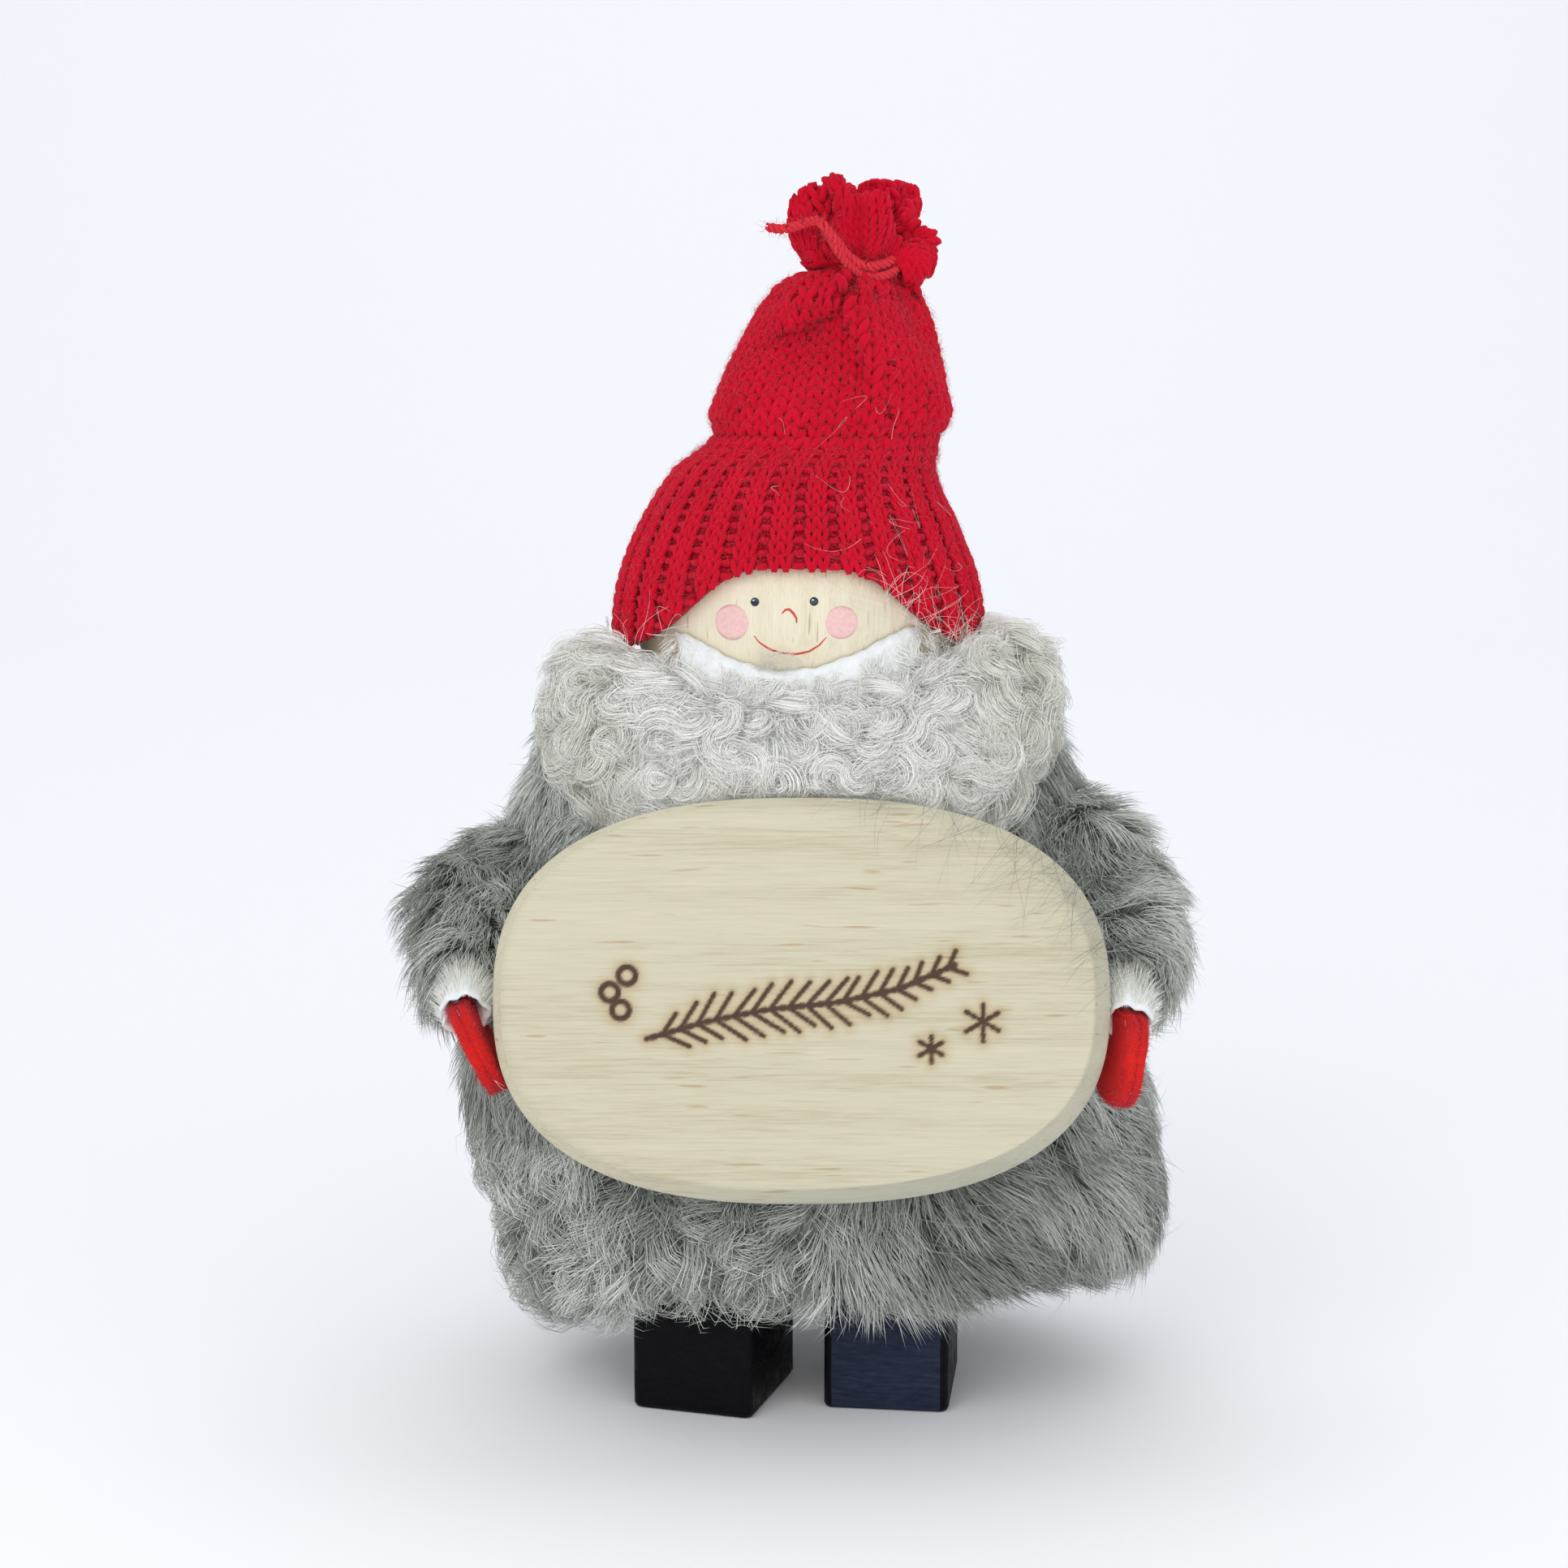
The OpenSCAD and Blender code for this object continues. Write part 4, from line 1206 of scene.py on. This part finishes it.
# Middle and edge of the ruffle round the tie: angle, then reach and height of its middle and of its edge.
RUFFLE = [
    [-90, 9.5, 214.0, 11.0, 224.0], [-60, 11.0, 214.5, 12.0, 221.5], [-32, 12.5, 217.5, 10.5, 209.0],
    [-8, 12.5, 219.0, 10.0, 209.5], [18, 12.5, 220.0, 12.0, 219.0], [50, 11.0, 218.0, 11.0, 227.0],
    [72, 9.5, 217.0, 10.0, 227.0], [100, 9.0, 216.0, 9.0, 223.5], [132, 10.0, 215.0, 9.0, 226.5],
    [160, 11.0, 213.0, 10.5, 221.5], [185, 11.5, 212.0, 10.5, 218.0], [208, 11.0, 212.5, 9.8, 225.0],
    [228, 10.0, 213.0, 9.5, 227.0], [250, 9.5, 213.5, 9.0, 227.0], [270, 9.5, 214.0, 11.0, 224.0],
]
ruffle_turn = np.arange(-90, 270)
ruffle_table = np.array(RUFFLE)
ruffle = np.stack([np.interp(ruffle_turn, ruffle_table[:, 0], ruffle_table[:, k]) for k in (1, 2, 3, 4)])
for _ in range(60):
    ruffle = (np.roll(ruffle, 1, axis=1) + 2 * ruffle + np.roll(ruffle, -1, axis=1)) / 4


def tuft_skin(u, s):
    """The ruffled end of the tube above the tie: s runs from the tie out to the frilled edge."""
    turn = (u + 90) % 360 - 90
    r1, z1, r2, z2 = (np.interp(turn, ruffle_turn, row, period=360) for row in ruffle)
    r = 4.6 * (1 - s) ** 2 + 2 * s * (1 - s) * r1 + s ** 2 * r2
    z = 212.6 * (1 - s) ** 2 + 2 * s * (1 - s) * z1 + s ** 2 * z2
    wave = (np.sin(np.radians(9 * u + 40)) + 0.5 * np.sin(np.radians(5 * u + 200))
            + 0.4 * np.sin(np.radians(17 * u)))
    other = np.sin(np.radians(8 * u + 300)) + 0.7 * np.sin(np.radians(13 * u + 120))
    angle = np.radians(u + 5 * s * np.sin(np.radians(9 * u + 130)))
    r = r * (1 + (0.09 + 0.10 * s) * smoothstep(s / 0.3) * wave)
    z = z + 1.1 * s * other
    point = np.stack([TIE[0] - 0.6 + r * np.cos(angle), TIE[1] + 0.85 * r * np.sin(angle), z], axis=-1)
    crumple = np.stack([waves(point, 8, 74), waves(point, 9, 75), 0.7 * waves(point, 8, 76)], axis=-1)
    return point + 0.9 * smoothstep(s / 0.4)[..., None] * crumple


def tuft_frame(u, s, turn, ahead, behind):
    """Points of the tuft with the directions along its edge, up and outward, and the width of the turn."""
    edge = tuft_skin(u + turn, s) - tuft_skin(u - turn, s)
    side = unit(edge)
    up = unit(tuft_skin(u, s + ahead) - tuft_skin(u, s - behind))
    return tuft_skin(u, s), side, up, unit(np.cross(side, up)), np.linalg.norm(edge, axis=-1)


def make_tuft():
    # fabric, folded over at its edge, in the darker red of painted shade
    columns, rows = 320, 26
    u, s = np.meshgrid(np.linspace(0, 360, columns, endpoint=False), np.linspace(0.0, 1, rows))
    point, _, _, out, _ = tuft_frame(u, s, 0.5, 0.01, 0.01 * (s > 0))
    outer = point + 0.25 * out
    inner = point - 0.55 * out
    rings = np.concatenate([outer, inner[::-1]])
    flat, quads, tris = capped_skin(rings)
    add_piece("tuft_fabric", flat, quads, tris, [HAT_PAINTED_SHADE], body="hat")
    # stitches on both faces, and the loops of the edge
    count = 64
    paths, radii = [], []
    for s_at in np.linspace(0.1, 0.95, 8):
        u = 360 * (np.arange(count)) / count
        s = np.full(count, s_at)
        point, side, up, out, width = tuft_frame(u, s, 180 / count, 0.02, 0.02)
        size = np.clip(width * 0.34, 0.35, 0.75)
        for face in (1, -1):
            p, r = legs(point + face * 0.5 * out, side, up, face * out, width, np.full(count, 2.35), size,
                        np.full(count, -0.1))
            paths.append(p)
            radii.append(r)
    loops = 74
    u = 360 * (np.arange(loops) + rng.uniform(-0.3, 0.3, loops)) / loops
    s = np.full(loops, 0.99)
    point, side, up, out, _ = tuft_frame(u, s, 1, 0, 0.04)
    tall = rng.uniform(1.0, 2.2, loops)
    wide = rng.uniform(0.9, 1.5, loops)
    arc = np.linspace(-0.15 * math.pi, 1.15 * math.pi, 6)
    lean = rng.normal(0, 0.8, loops)
    loop = (point[:, None] + (wide[:, None] * np.cos(arc))[..., None] * side[:, None]
            + (tall[:, None] * np.sin(arc))[..., None] * up[:, None]
            + (lean[:, None] * np.sin(arc))[..., None] * out[:, None])
    paths.append(loop)
    radii.append(np.tile([0.55, 0.62, 0.65, 0.65, 0.62, 0.5], (loops, 1)))
    paths, radii = np.concatenate(paths), np.concatenate(radii)
    paths[..., 2] -= 0.7 * np.clip(paths[..., 2] - 227.5, 0, None)
    knit_pieces("tuft_stitches", paths, radii)


make_tuft()


def surface_fuzz(name, points, normals, palette, body, length, width):
    """Short loose fibres that stand off a woollen surface."""
    n = len(points)
    t = np.linspace(0, 1, 4)
    lean = unit(rng.normal(size=(n, 3)))
    lean = unit(lean - (lean * normals).sum(-1, keepdims=True) * normals)
    reach = length * rng.uniform(0.4, 1.2, (n, 1, 1))
    path = points[:, None] + reach * (t[None, :, None] * 0.55 * normals[:, None]
                                      + (t ** 2)[None, :, None] * lean[:, None])
    radii = np.tile(width * (1 - 0.8 * t), (n, 1))
    tones = rng.integers(0, len(palette), (n, 1)) + np.zeros((n, 3))
    strand_pieces(name, path, radii, tones, palette, body=body)


def plied_yarn(name, line, radius, material, body, stands_for=()):
    """Plied yarn along a line: each ply is its own tube, wound round the middle."""
    plies, twist = 3, 1.7
    line = np.asarray(line, float)
    run = np.concatenate([[0], np.cumsum(np.linalg.norm(np.diff(line, axis=0), axis=1))])
    count = max(12, int(run[-1] / (radius * 0.3)))
    at = np.linspace(0, run[-1], count)
    line = np.stack([np.interp(at, run, c) for c in line.T], -1)
    along = unit(np.gradient(line, axis=0))
    across = unit(np.cross(along, [0.13, 0.2, 1.0]))
    up = np.cross(along, across)
    paths = []
    for ply in range(plies):
        turn = 2 * math.pi * (ply / plies + at / (radius * 2 * twist))
        paths.append(line + radius * 0.58 * (np.cos(turn)[:, None] * across + np.sin(turn)[:, None] * up))
    paths = np.array(paths)
    radii = np.tile(np.full(count, radius * 0.42), (plies, 1))
    radii[:, -3:] *= 0.7
    points, quads, tris = tapered_tubes(paths, radii, 8)
    add_piece(name, points, quads, tris, [material], body=body, stands_for=stands_for)
    chosen = rng.integers(0, count, int(run[-1] * 16))
    away = unit(rng.normal(size=(len(chosen), 3)))
    surface_fuzz(f"{name}_fuzz", line[chosen] + radius * 0.8 * away, away, RED_FUZZ[1:], body, 2.0,
                 0.045)


def make_tie():
    turns = np.linspace(0, 2.1 * 2 * math.pi, 180) + math.radians(-60)
    r = 5.5 + 0.15 * np.sin(turns * 2.3)
    line = np.stack([TIE[0] + r * np.cos(turns), TIE[1] + r * np.sin(turns),
                     TIE[2] - 1.6 + 2.3 * np.linspace(0, 1, 180) + 0.15 * np.sin(turns * 1.7)], -1)
    plied_yarn("tie_yarn_turns", line, 1.0, TIE_WOOL, "hat", stands_for=["hat_tie_yarn"])
    loop = np.array([[18.0, -5.4, 214.2], [16.4, -7.4, 212.9], [13.4, -8.6, 212.0], [10.8, -8.9, 212.5],
                     [8.4, -9.9, 214.4], [6.4, -11.0, 217.0], [4.6, -11.0, 219.2], [3.2, -9.6, 220.4],
                     [1.6, -8.4, 220.0], [-0.8, -7.8, 219.2], [-3.4, -7.4, 218.8],
                     [-6.2, -7.2, 219.3]], float)
    loop[:, 1] += AXIS_Y
    plied_yarn("tie_yarn_tail", table_curve(loop, passes=1)(np.linspace(0, 1, 110)), 0.95, TIE_WOOL, "hat")
    second = loop[:8] + [0.5, 0.1, -2.0]
    second[-2:] += [[0.5, 1.2, 0.2], [1.2, 3.0, 0.2]]
    plied_yarn("tie_yarn_second_turn", table_curve(second, passes=1)(np.linspace(0, 1, 90)), 0.85, TIE_WOOL,
               "hat")


make_tie()


def hat_fuzz():
    n = int(21000 * FULL)
    u = rng.uniform(0, 360, n)
    low = brim_height(u)
    z = low + (210 - low) * rng.uniform(0, 1, n) ** 1.15
    point, side, up, out = hat_frame(u, z)
    surface_fuzz("hat_fuzz", point - 0.2 * out, out, RED_FUZZ, "hat", 2.6, 0.042)
    n = int(3500 * FULL)
    u, s = rng.uniform(0, 360, n), rng.uniform(0.1, 1, n)
    point, _, _, out, _ = tuft_frame(u, s, 0.5, 0.01, 0.01)
    out = out * rng.choice([-1.0, 1.0], n)[:, None]
    surface_fuzz("tuft_fuzz", point + 0.4 * out, out, RED_FUZZ, "hat", 2.2, 0.055)


hat_fuzz()


def make_wadding():
    material, tree, base = shader("wadding_wool", srgb(238, 236, 228), 0.9, 0.1)
    puff = noise(tree, place(tree), 0.5, 5, 0.6)
    colour_by(tree, base, puff, [(0.3, srgb(226, 223, 212)), (0.7, srgb(244, 242, 236))])
    columns, rows = 64, 20
    u = np.linspace(0, 360, columns, endpoint=False)
    rings = []
    for z in np.linspace(184.2, 203, rows):
        ring = hat_skin(u, np.full(columns, z), 3.2)
        rings.append(ring + 0.3 * waves(ring, 6, 81)[:, None])
    flat, quads, tris = capped_skin(np.array(rings))
    piece = add_piece("hat_stuffing", flat, quads, tris, [material], body="hat",
                      stands_for=["hat_wadding"])


make_wadding()


# ---------------------------------------------------------------- loose hairs

def curved_hairs(name, start, middle, end, palette, tone, width, wobble=1.0, steps=9):
    """Single hairs bent through three points each, with a small wave of their own."""
    n = len(start)
    t = np.linspace(0, 1, steps)[None, :, None]
    path = (1 - t) ** 2 * start[:, None] + 2 * t * (1 - t) * middle[:, None] + t ** 2 * end[:, None]
    swing = rng.normal(0, 0.35 * wobble, (n, 1, 3)) * np.sin(t * rng.uniform(3, 9, (n, 1, 1)))
    path = path + swing * t
    radii = np.tile(width * (1 - 0.7 * t[0, :, 0] ** 2), (n, 1))
    tones = tone + rng.normal(0, 0.8, (n, 1)) + np.zeros((n, steps - 1))
    return strand_pieces(name, path, radii, tones, palette)


def hairs_on_sign():
    """Hairs of the right sleeve that lie over the board's upper right edge."""
    n = 130
    turn = np.radians(rng.uniform(4, 84, n))
    edge = superellipse(SIGN_W / 2, SIGN_H / 2, turn)
    inward = unit(-edge * [0.5, 1.0] + rng.normal(0, 34, (n, 2)) + [-8, 0])
    reach = rng.uniform(3, 19, n) * (0.45 + 0.55 * np.sin(turn * 2))

    def on_board(xy, height):
        return (SIGN_FRONT + xy[:, :1] * SIGN_RIGHT + xy[:, 1:] * SIGN_UP + height[:, None] * SIGN_OUT)

    start = on_board(edge * rng.uniform(1.04, 1.1, (n, 1)), rng.uniform(-5, -1, n))
    middle = on_board(edge + rng.normal(0, 2.0, (n, 2)), rng.uniform(2.0, 5.0, n))
    end = on_board(edge + inward * reach[:, None], rng.uniform(0.2, 0.9, n))
    curved_hairs("hairs_over_sign", start, middle, end, GREY_FUR, 1.6, 0.04, 1.5, 12)


def hairs_on_brim():
    """White beard hairs that cling to the hat's lower right brim, and a few at its lower left."""
    n = int(110 * FULL)
    u = np.where(rng.uniform(size=n) < 0.9, rng.uniform(-66, -6, n), rng.uniform(-150, -132, n))
    low = brim_height(u)
    a = np.radians(u)

    def at(angle, z, out):
        r = hat_outer(z) + out
        return np.stack([r * np.cos(angle), AXIS_Y + r * np.sin(angle), z], -1)

    start = at(a, low - rng.uniform(1, 5, n), rng.uniform(0.5, 3, n))
    turn = rng.normal(0, 0.25, n)
    middle = at(a + turn * rng.uniform(-0.4, 1.2, n), low + rng.uniform(-2, 7, n), rng.uniform(1.6, 4.5, n))
    end = at(a + turn, low + rng.uniform(-2, 11, n) * rng.uniform(0.3, 1, n), rng.uniform(0.9, 2.6, n))
    curved_hairs("hairs_on_brim", start, middle, end, WHITE_FUR, 1.6, 0.03, 2.6, 12)


def hairs_on_dome():
    """A few long pale hairs caught on the ribs."""
    n = 24
    u = rng.normal(-58, 34, n)
    z = brim_height(u) + rng.uniform(2, 30, n)

    def at(angle, height):
        point, _, _, out = hat_frame(angle, np.clip(height, 142, 205))
        return point + out * rng.uniform(0.8, 1.8, (n, 1))

    turn = rng.normal(0, 9, n)
    start, end = at(u, z), at(u + turn, z + rng.normal(0, 5, n))
    middle = at(u + rng.normal(0, 11, n), z + rng.normal(0, 7, n))
    made = curved_hairs("hairs_on_dome", start, middle, end, WHITE_FUR, 0.0, 0.024, 1.2, 14)
    for piece in made:
        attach(piece, "hat")


def chin_wisp():
    """A small cream wisp of beard that arches up over the middle of the smile."""
    n = 46
    size = rng.uniform(0.3, 1.0, n)
    centre = -6.5 + rng.normal(0, 1.6, n)
    low = -17.0 + rng.normal(0, 0.9, n)
    start = ball_point(centre - 8.5 * size, low, HEAD_R + 1.2 + rng.uniform(0, 0.8, n))
    middle = ball_point(centre + rng.normal(0, 3, n), low + 12.5 * size,
                        HEAD_R + 1.4 + rng.uniform(0, 3.0, n))
    end = ball_point(centre + 8.5 * size, low + rng.normal(0, 1.2, n), HEAD_R + 1.2 + rng.uniform(0, 0.8, n))
    curved_hairs("chin_wisp", start, middle, end, CREAM_FUR, 1.0, 0.04, 1.6, 12)


hairs_on_dome()
hairs_on_sign()
hairs_on_brim()
chin_wisp()


# ---------------------------------------------------------------- mittens and cuffs

def mitten_frame(side):
    low, high = node_box(("left" if side < 0 else "right") + "_mitten_palm")
    low2, high2 = node_box(("left" if side < 0 else "right") + "_mitten_back")
    centre = (np.minimum(low, low2) + np.maximum(high, high2)) / 2
    tilt = math.radians(26 if side < 0 else 8)
    yaw = math.radians(0 if side < 0 else 20)
    up = np.array([side * math.sin(tilt), 0, math.cos(tilt)])
    flat = np.array([math.cos(tilt), 0, -side * math.sin(tilt)])
    out = math.cos(yaw) * flat * side + math.sin(yaw) * np.array([0, 1.0, 0])
    ahead = unit(np.cross(up, out))
    return centre, up, unit(out), ahead


def felt_layer(name, side, outer, stands_for):
    """One felt layer: a rounded mitten shape, thick in the middle and soft at its edge."""
    centre, up, out, ahead = mitten_frame(side)
    length, width, thick = 17.5, 12.0, 2.4
    columns = 90
    turn = np.linspace(0, 2 * math.pi, columns, endpoint=False)
    c, s = np.cos(turn), np.sin(turn)
    outline = np.stack([width / 2 * np.sign(c) * np.abs(c) ** 0.7,
                        length / 2 * np.sign(s) * np.abs(s) ** 0.6], -1)
    # the cut edge is a little pointed at the front of the wrist
    outline[:, 1] += 1.6 * smoothstep((c - 0.2) / 0.8) * smoothstep(s / 0.6) * (1 if side > 0 else 0.4)
    rings = []
    for share, level in ((0.02, 0.5), (0.4, 0.5), (0.75, 0.48), (0.9, 0.43), (0.98, 0.26), (1.0, 0.0),
                         (0.98, -0.26), (0.9, -0.43), (0.75, -0.48), (0.4, -0.5), (0.02, -0.5)):
        flat = outline * share
        lift = (0.34 if outer else -0.34) * thick + level * thick
        bumps = 0.16 * waves(np.concatenate([flat, np.full((columns, 1), level * 8.0)], -1), 3.4, 91)
        rings.append(centre + flat[:, :1] * ahead + flat[:, 1:] * up + (lift + bumps[:, None]) * out
                     + (bumps * (share > 0.5))[:, None] * ahead)
    rings = np.array(rings)[::-1] if (np.cross(ahead, up) @ out) < 0 else np.array(rings)
    flat, quads, tris = capped_skin(rings)
    add_piece(name, flat, quads, tris, [FELT], stands_for=stands_for)
    points = rings[2:-2].reshape(-1, 3)
    chosen = rng.choice(len(points), int(2400 * FULL))
    away = unit(points[chosen] - (centre - (0.6 if outer else -0.6) * out))
    surface_fuzz(f"{name}_fuzz", points[chosen], away, RED_FUZZ, "figure", 1.0, 0.04)
    chosen = points[rng.choice(len(points), (2, 9))]
    away = unit(chosen[0] - centre)
    middle = (chosen[0] + chosen[1]) / 2 + rng.uniform(1, 4, (9, 1)) * away
    end = chosen[1] + 0.4 * unit(chosen[1] - centre)
    curved_hairs(f"{name}_loose_hair", chosen[0] + 0.4 * away, middle, end, WHITE_FUR, 1.5,
                 0.035)


def make_cuff(word, side):
    """A short flared cuff of white hide where the sleeve ends over the mitten, with its own short hair."""
    centre, up, _, _ = mitten_frame(side)
    start = np.array([side * 60, -33 + AXIS_Y, 88.5])
    end = centre + up * 5.4 + np.array([0, -1.4, 0.7])
    start = start * 0.62 + end * 0.38
    along = unit(end - start)
    across = unit(np.cross(along, [0, 0, 1.0]))
    lift = np.cross(across, along)
    turn = np.linspace(0, 2 * math.pi, 60, endpoint=False)
    rings = []
    for t, r in ((0.0, 2.6), (0.35, 3.4), (0.7, 4.1), (0.93, 4.4), (1.0, 4.1), (0.9, 3.4), (0.35, 2.4),
                 (0.0, 1.7)):
        ripple = 1 + 0.08 * t * np.sin(5 * turn + side) + 0.05 * t * np.sin(9 * turn)
        here = start + (end - start) * t
        rings.append(here + (r * ripple * np.cos(turn))[:, None] * across
                     + (1.15 * r * ripple * np.sin(turn))[:, None] * lift)
    rings = np.array(rings)
    quads = grid_quads(len(rings), 60, True)
    last = (len(rings) - 1) * 60 + np.arange(60)
    join = np.stack([last, np.roll(last, -1), np.roll(np.arange(60), -1), np.arange(60)], -1)
    add_piece(f"{word}_hide_cuff", rings.reshape(-1, 3), np.concatenate([quads, join]), (), [HIDE])
    n = int(1500 * FULL)
    t, a = rng.uniform(0.05, 0.97, n), rng.uniform(0, 2 * math.pi, n)
    r = 2.6 + 1.8 * t
    away = np.cos(a)[:, None] * across + np.sin(a)[:, None] * lift
    root = start + (end - start) * t[:, None] + (r * 0.97)[:, None] * away
    s = np.linspace(0, 1, 5)
    reach = rng.uniform(2.0, 4.0, n)
    rise = unit(-along * 0.95 + away * 0.5 + rng.normal(0, 0.16, (n, 3)))
    path = root[:, None] + (reach[:, None] * s)[..., None] * rise[:, None] \
        + (reach[:, None] * 0.22 * s ** 2)[..., None] * away[:, None]
    radii = np.tile(0.075 * (1 - 0.8 * s ** 2), (n, 1))
    tones = np.clip(2.6 - 2.0 * s[1:] * (t[:, None] < 0.3) + rng.normal(0, 0.5, (n, 1)), 0, 5)
    strand_pieces(f"{word}_cuff_hair", path, radii, tones, WHITE_FUR)


for side, word in ((-1, "left"), (1, "right")):
    felt_layer(f"{word}_felt_palm", side, False, [f"{word}_mitten_palm"])
    felt_layer(f"{word}_felt_back", side, True, [f"{word}_mitten_back"])
    make_cuff(word, side)


# ---------------------------------------------------------------- feet

def rounded_block(name, node, turn, materials, face_slot, stands_for):
    """A painted block with softly rounded edges, from the CAD block's size and turn."""
    low, high = node_box(node)
    centre = (low + high) / 2
    width, depth, height = 23.5, 28.0, high[2] - low[2]
    a = math.radians(-turn)
    side = np.array([math.cos(a), math.sin(a), 0])
    back = np.array([-math.sin(a), math.cos(a), 0])
    corner = 1.5
    outline = []
    slots = []
    for k, (sx, sy) in enumerate(((1, -1), (1, 1), (-1, 1), (-1, -1))):
        for t in np.radians(np.linspace(-90, 0, 7) + 90 * k):
            outline.append([sx * (width / 2 - corner) + corner * math.cos(t),
                            sy * (depth / 2 - corner) + corner * math.sin(t)])
            slots.append(0)
    outline = np.array(outline)
    slots[-1] = face_slot
    rings = []
    for inset, z in ((1.2, 0.0), (0.35, 0.25), (0.0, 1.0), (0, 6), (0, 12), (0, 20), (0, height - 0.5),
                     (0.6, height)):
        ring = outline * (1 - inset / (width / 2))
        wear = 0.06 * waves(np.concatenate([ring, np.full((len(ring), 1), z)], -1), 5, 95)
        rings.append(centre * [1, 1, 0] + (ring[:, :1] + wear[:, None]) * side + ring[:, 1:] * back
                     + [0, 0, z])
    rings = np.array(rings)
    flat, quads, tris = capped_skin(rings)
    quad_slots = np.tile(slots, len(rings) - 1)
    add_piece(name, flat, quads, tris, materials, quad_slots=quad_slots,
              stands_for=stands_for)


BLACK = painted_wood("black_foot_paint", srgb(4, 4, 6), srgb(12, 11, 15), 0.45)
NAVY = painted_wood("navy_foot_paint", srgb(26, 31, 48), srgb(48, 55, 76), 0.5)
rounded_block("left_foot_block", "left_leg_block", 17, [BLACK], 0, ["left_leg_block"])
rounded_block("right_foot_block", "right_leg_block", 7, [BLACK, NAVY], 1, ["right_leg_block"])


# ---------------------------------------------------------------- CAD pieces that stay: better materials

def dress(node, material):
    """Give a CAD node that stays its material."""
    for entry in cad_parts[node].material_slots:
        entry.material = material


pine = birch_material("turned_pine_wood", srgb(222, 192, 142), srgb(198, 160, 108), "Z", 0.8)
dowel_birch = birch_material("dowel_birch_wood", srgb(226, 206, 164), srgb(206, 180, 132), "Z", 2.0)
dress("body_core", pine)
for node in ("neck_dowel", "left_leg_dowel", "right_leg_dowel"):
    dress(node, dowel_birch)
steel, tree, base = shader("arm_wire_steel", srgb(150, 152, 156), 0.35, 0.5)
base.inputs["Metallic"].default_value = 1.0
drawn = noise(tree, place(tree, (3, 3, 3)), 1.0, 4, 0.6)
tree.links.new(levels(tree, drawn, 0.3, 0.7, 0.25, 0.5), base.inputs["Roughness"])
dress("arm_wire", steel)


# ---------------------------------------------------------------- stage, light and camera

def stage_piece(name, points, quads, colour):
    mesh = bpy.data.meshes.new(name)
    mesh.from_pydata([[c * MM for c in p] for p in points], [], quads)
    material, _, _ = shader(name + "_paint", colour, 0.9, 0.1)
    mesh.materials.append(material)
    for polygon in mesh.polygons:
        polygon.use_smooth = True
    piece = bpy.data.objects.new(name, mesh)
    bpy.context.scene.collection.objects.link(piece)


def make_stage():
    half, floor_back, sweep_r, wall_top = 6000, 1400, 900, 7000
    profile = [(-half, 0), (floor_back, 0)]
    profile += [(floor_back + sweep_r * math.sin(a), sweep_r - sweep_r * math.cos(a))
                for a in np.linspace(0.1, math.pi / 2, 14)]
    profile += [(floor_back + sweep_r, wall_top)]
    points = [(x, y, z) for y, z in profile for x in (-half, half)]
    quads = [(2 * i, 2 * i + 1, 2 * i + 3, 2 * i + 2) for i in range(len(profile) - 1)]
    stage_piece("pale_sweep", points, quads, srgb(252, 252, 254))


def area_light(name, at, target, size, power, colour=(1, 1, 1)):
    data = bpy.data.lights.new(name, "AREA")
    data.shape = "DISK"
    data.size = size
    data.energy = power
    data.color = colour
    light = bpy.data.objects.new(name, data)
    light.location = Vector(at) * MM
    light.rotation_euler = (Vector(target) - Vector(at)).to_track_quat("-Z", "Y").to_euler()
    bpy.context.scene.collection.objects.link(light)


make_stage()
world = bpy.data.worlds.new("soft_studio")
world.use_nodes = True
world.node_tree.nodes["Background"].inputs["Color"].default_value = (0.93, 0.955, 1.0, 1)
world.node_tree.nodes["Background"].inputs["Strength"].default_value = 0.69
bpy.context.scene.world = world
area_light("key", (-380, -760, 640), (0, 0, 110), 0.6, 2.2, (1.0, 0.985, 0.95))
area_light("front", (60, -1000, 240), (0, 0, 120), 0.8, 1.8, (1.0, 0.99, 0.965))
area_light("fill", (620, -620, 380), (0, 0, 110), 0.7, 0.85)
area_light("backdrop", (0, 700, 2200), (0, 2300, 700), 2.4, 15.0, (0.97, 0.98, 1.0))
bpy.context.scene.view_settings.view_transform = "Standard"

CAMERA_X = -2.753
CAMERA_AWAY = 550
CAMERA_HEIGHT = 196
CAMERA_TILT_DOWN = 8.3385
camera = bpy.data.cameras.new("camera")
camera.lens = 67.11
camera.sensor_width = 36
camera.clip_start = 0.01
camera.clip_end = 40
view = bpy.data.objects.new("camera", camera)
view.location = (CAMERA_X * MM, (-CAMERA_AWAY + AXIS_Y) * MM, CAMERA_HEIGHT * MM)
view.rotation_euler = (math.radians(90 - CAMERA_TILT_DOWN), 0, 0)
bpy.context.scene.collection.objects.link(view)
bpy.context.scene.camera = view
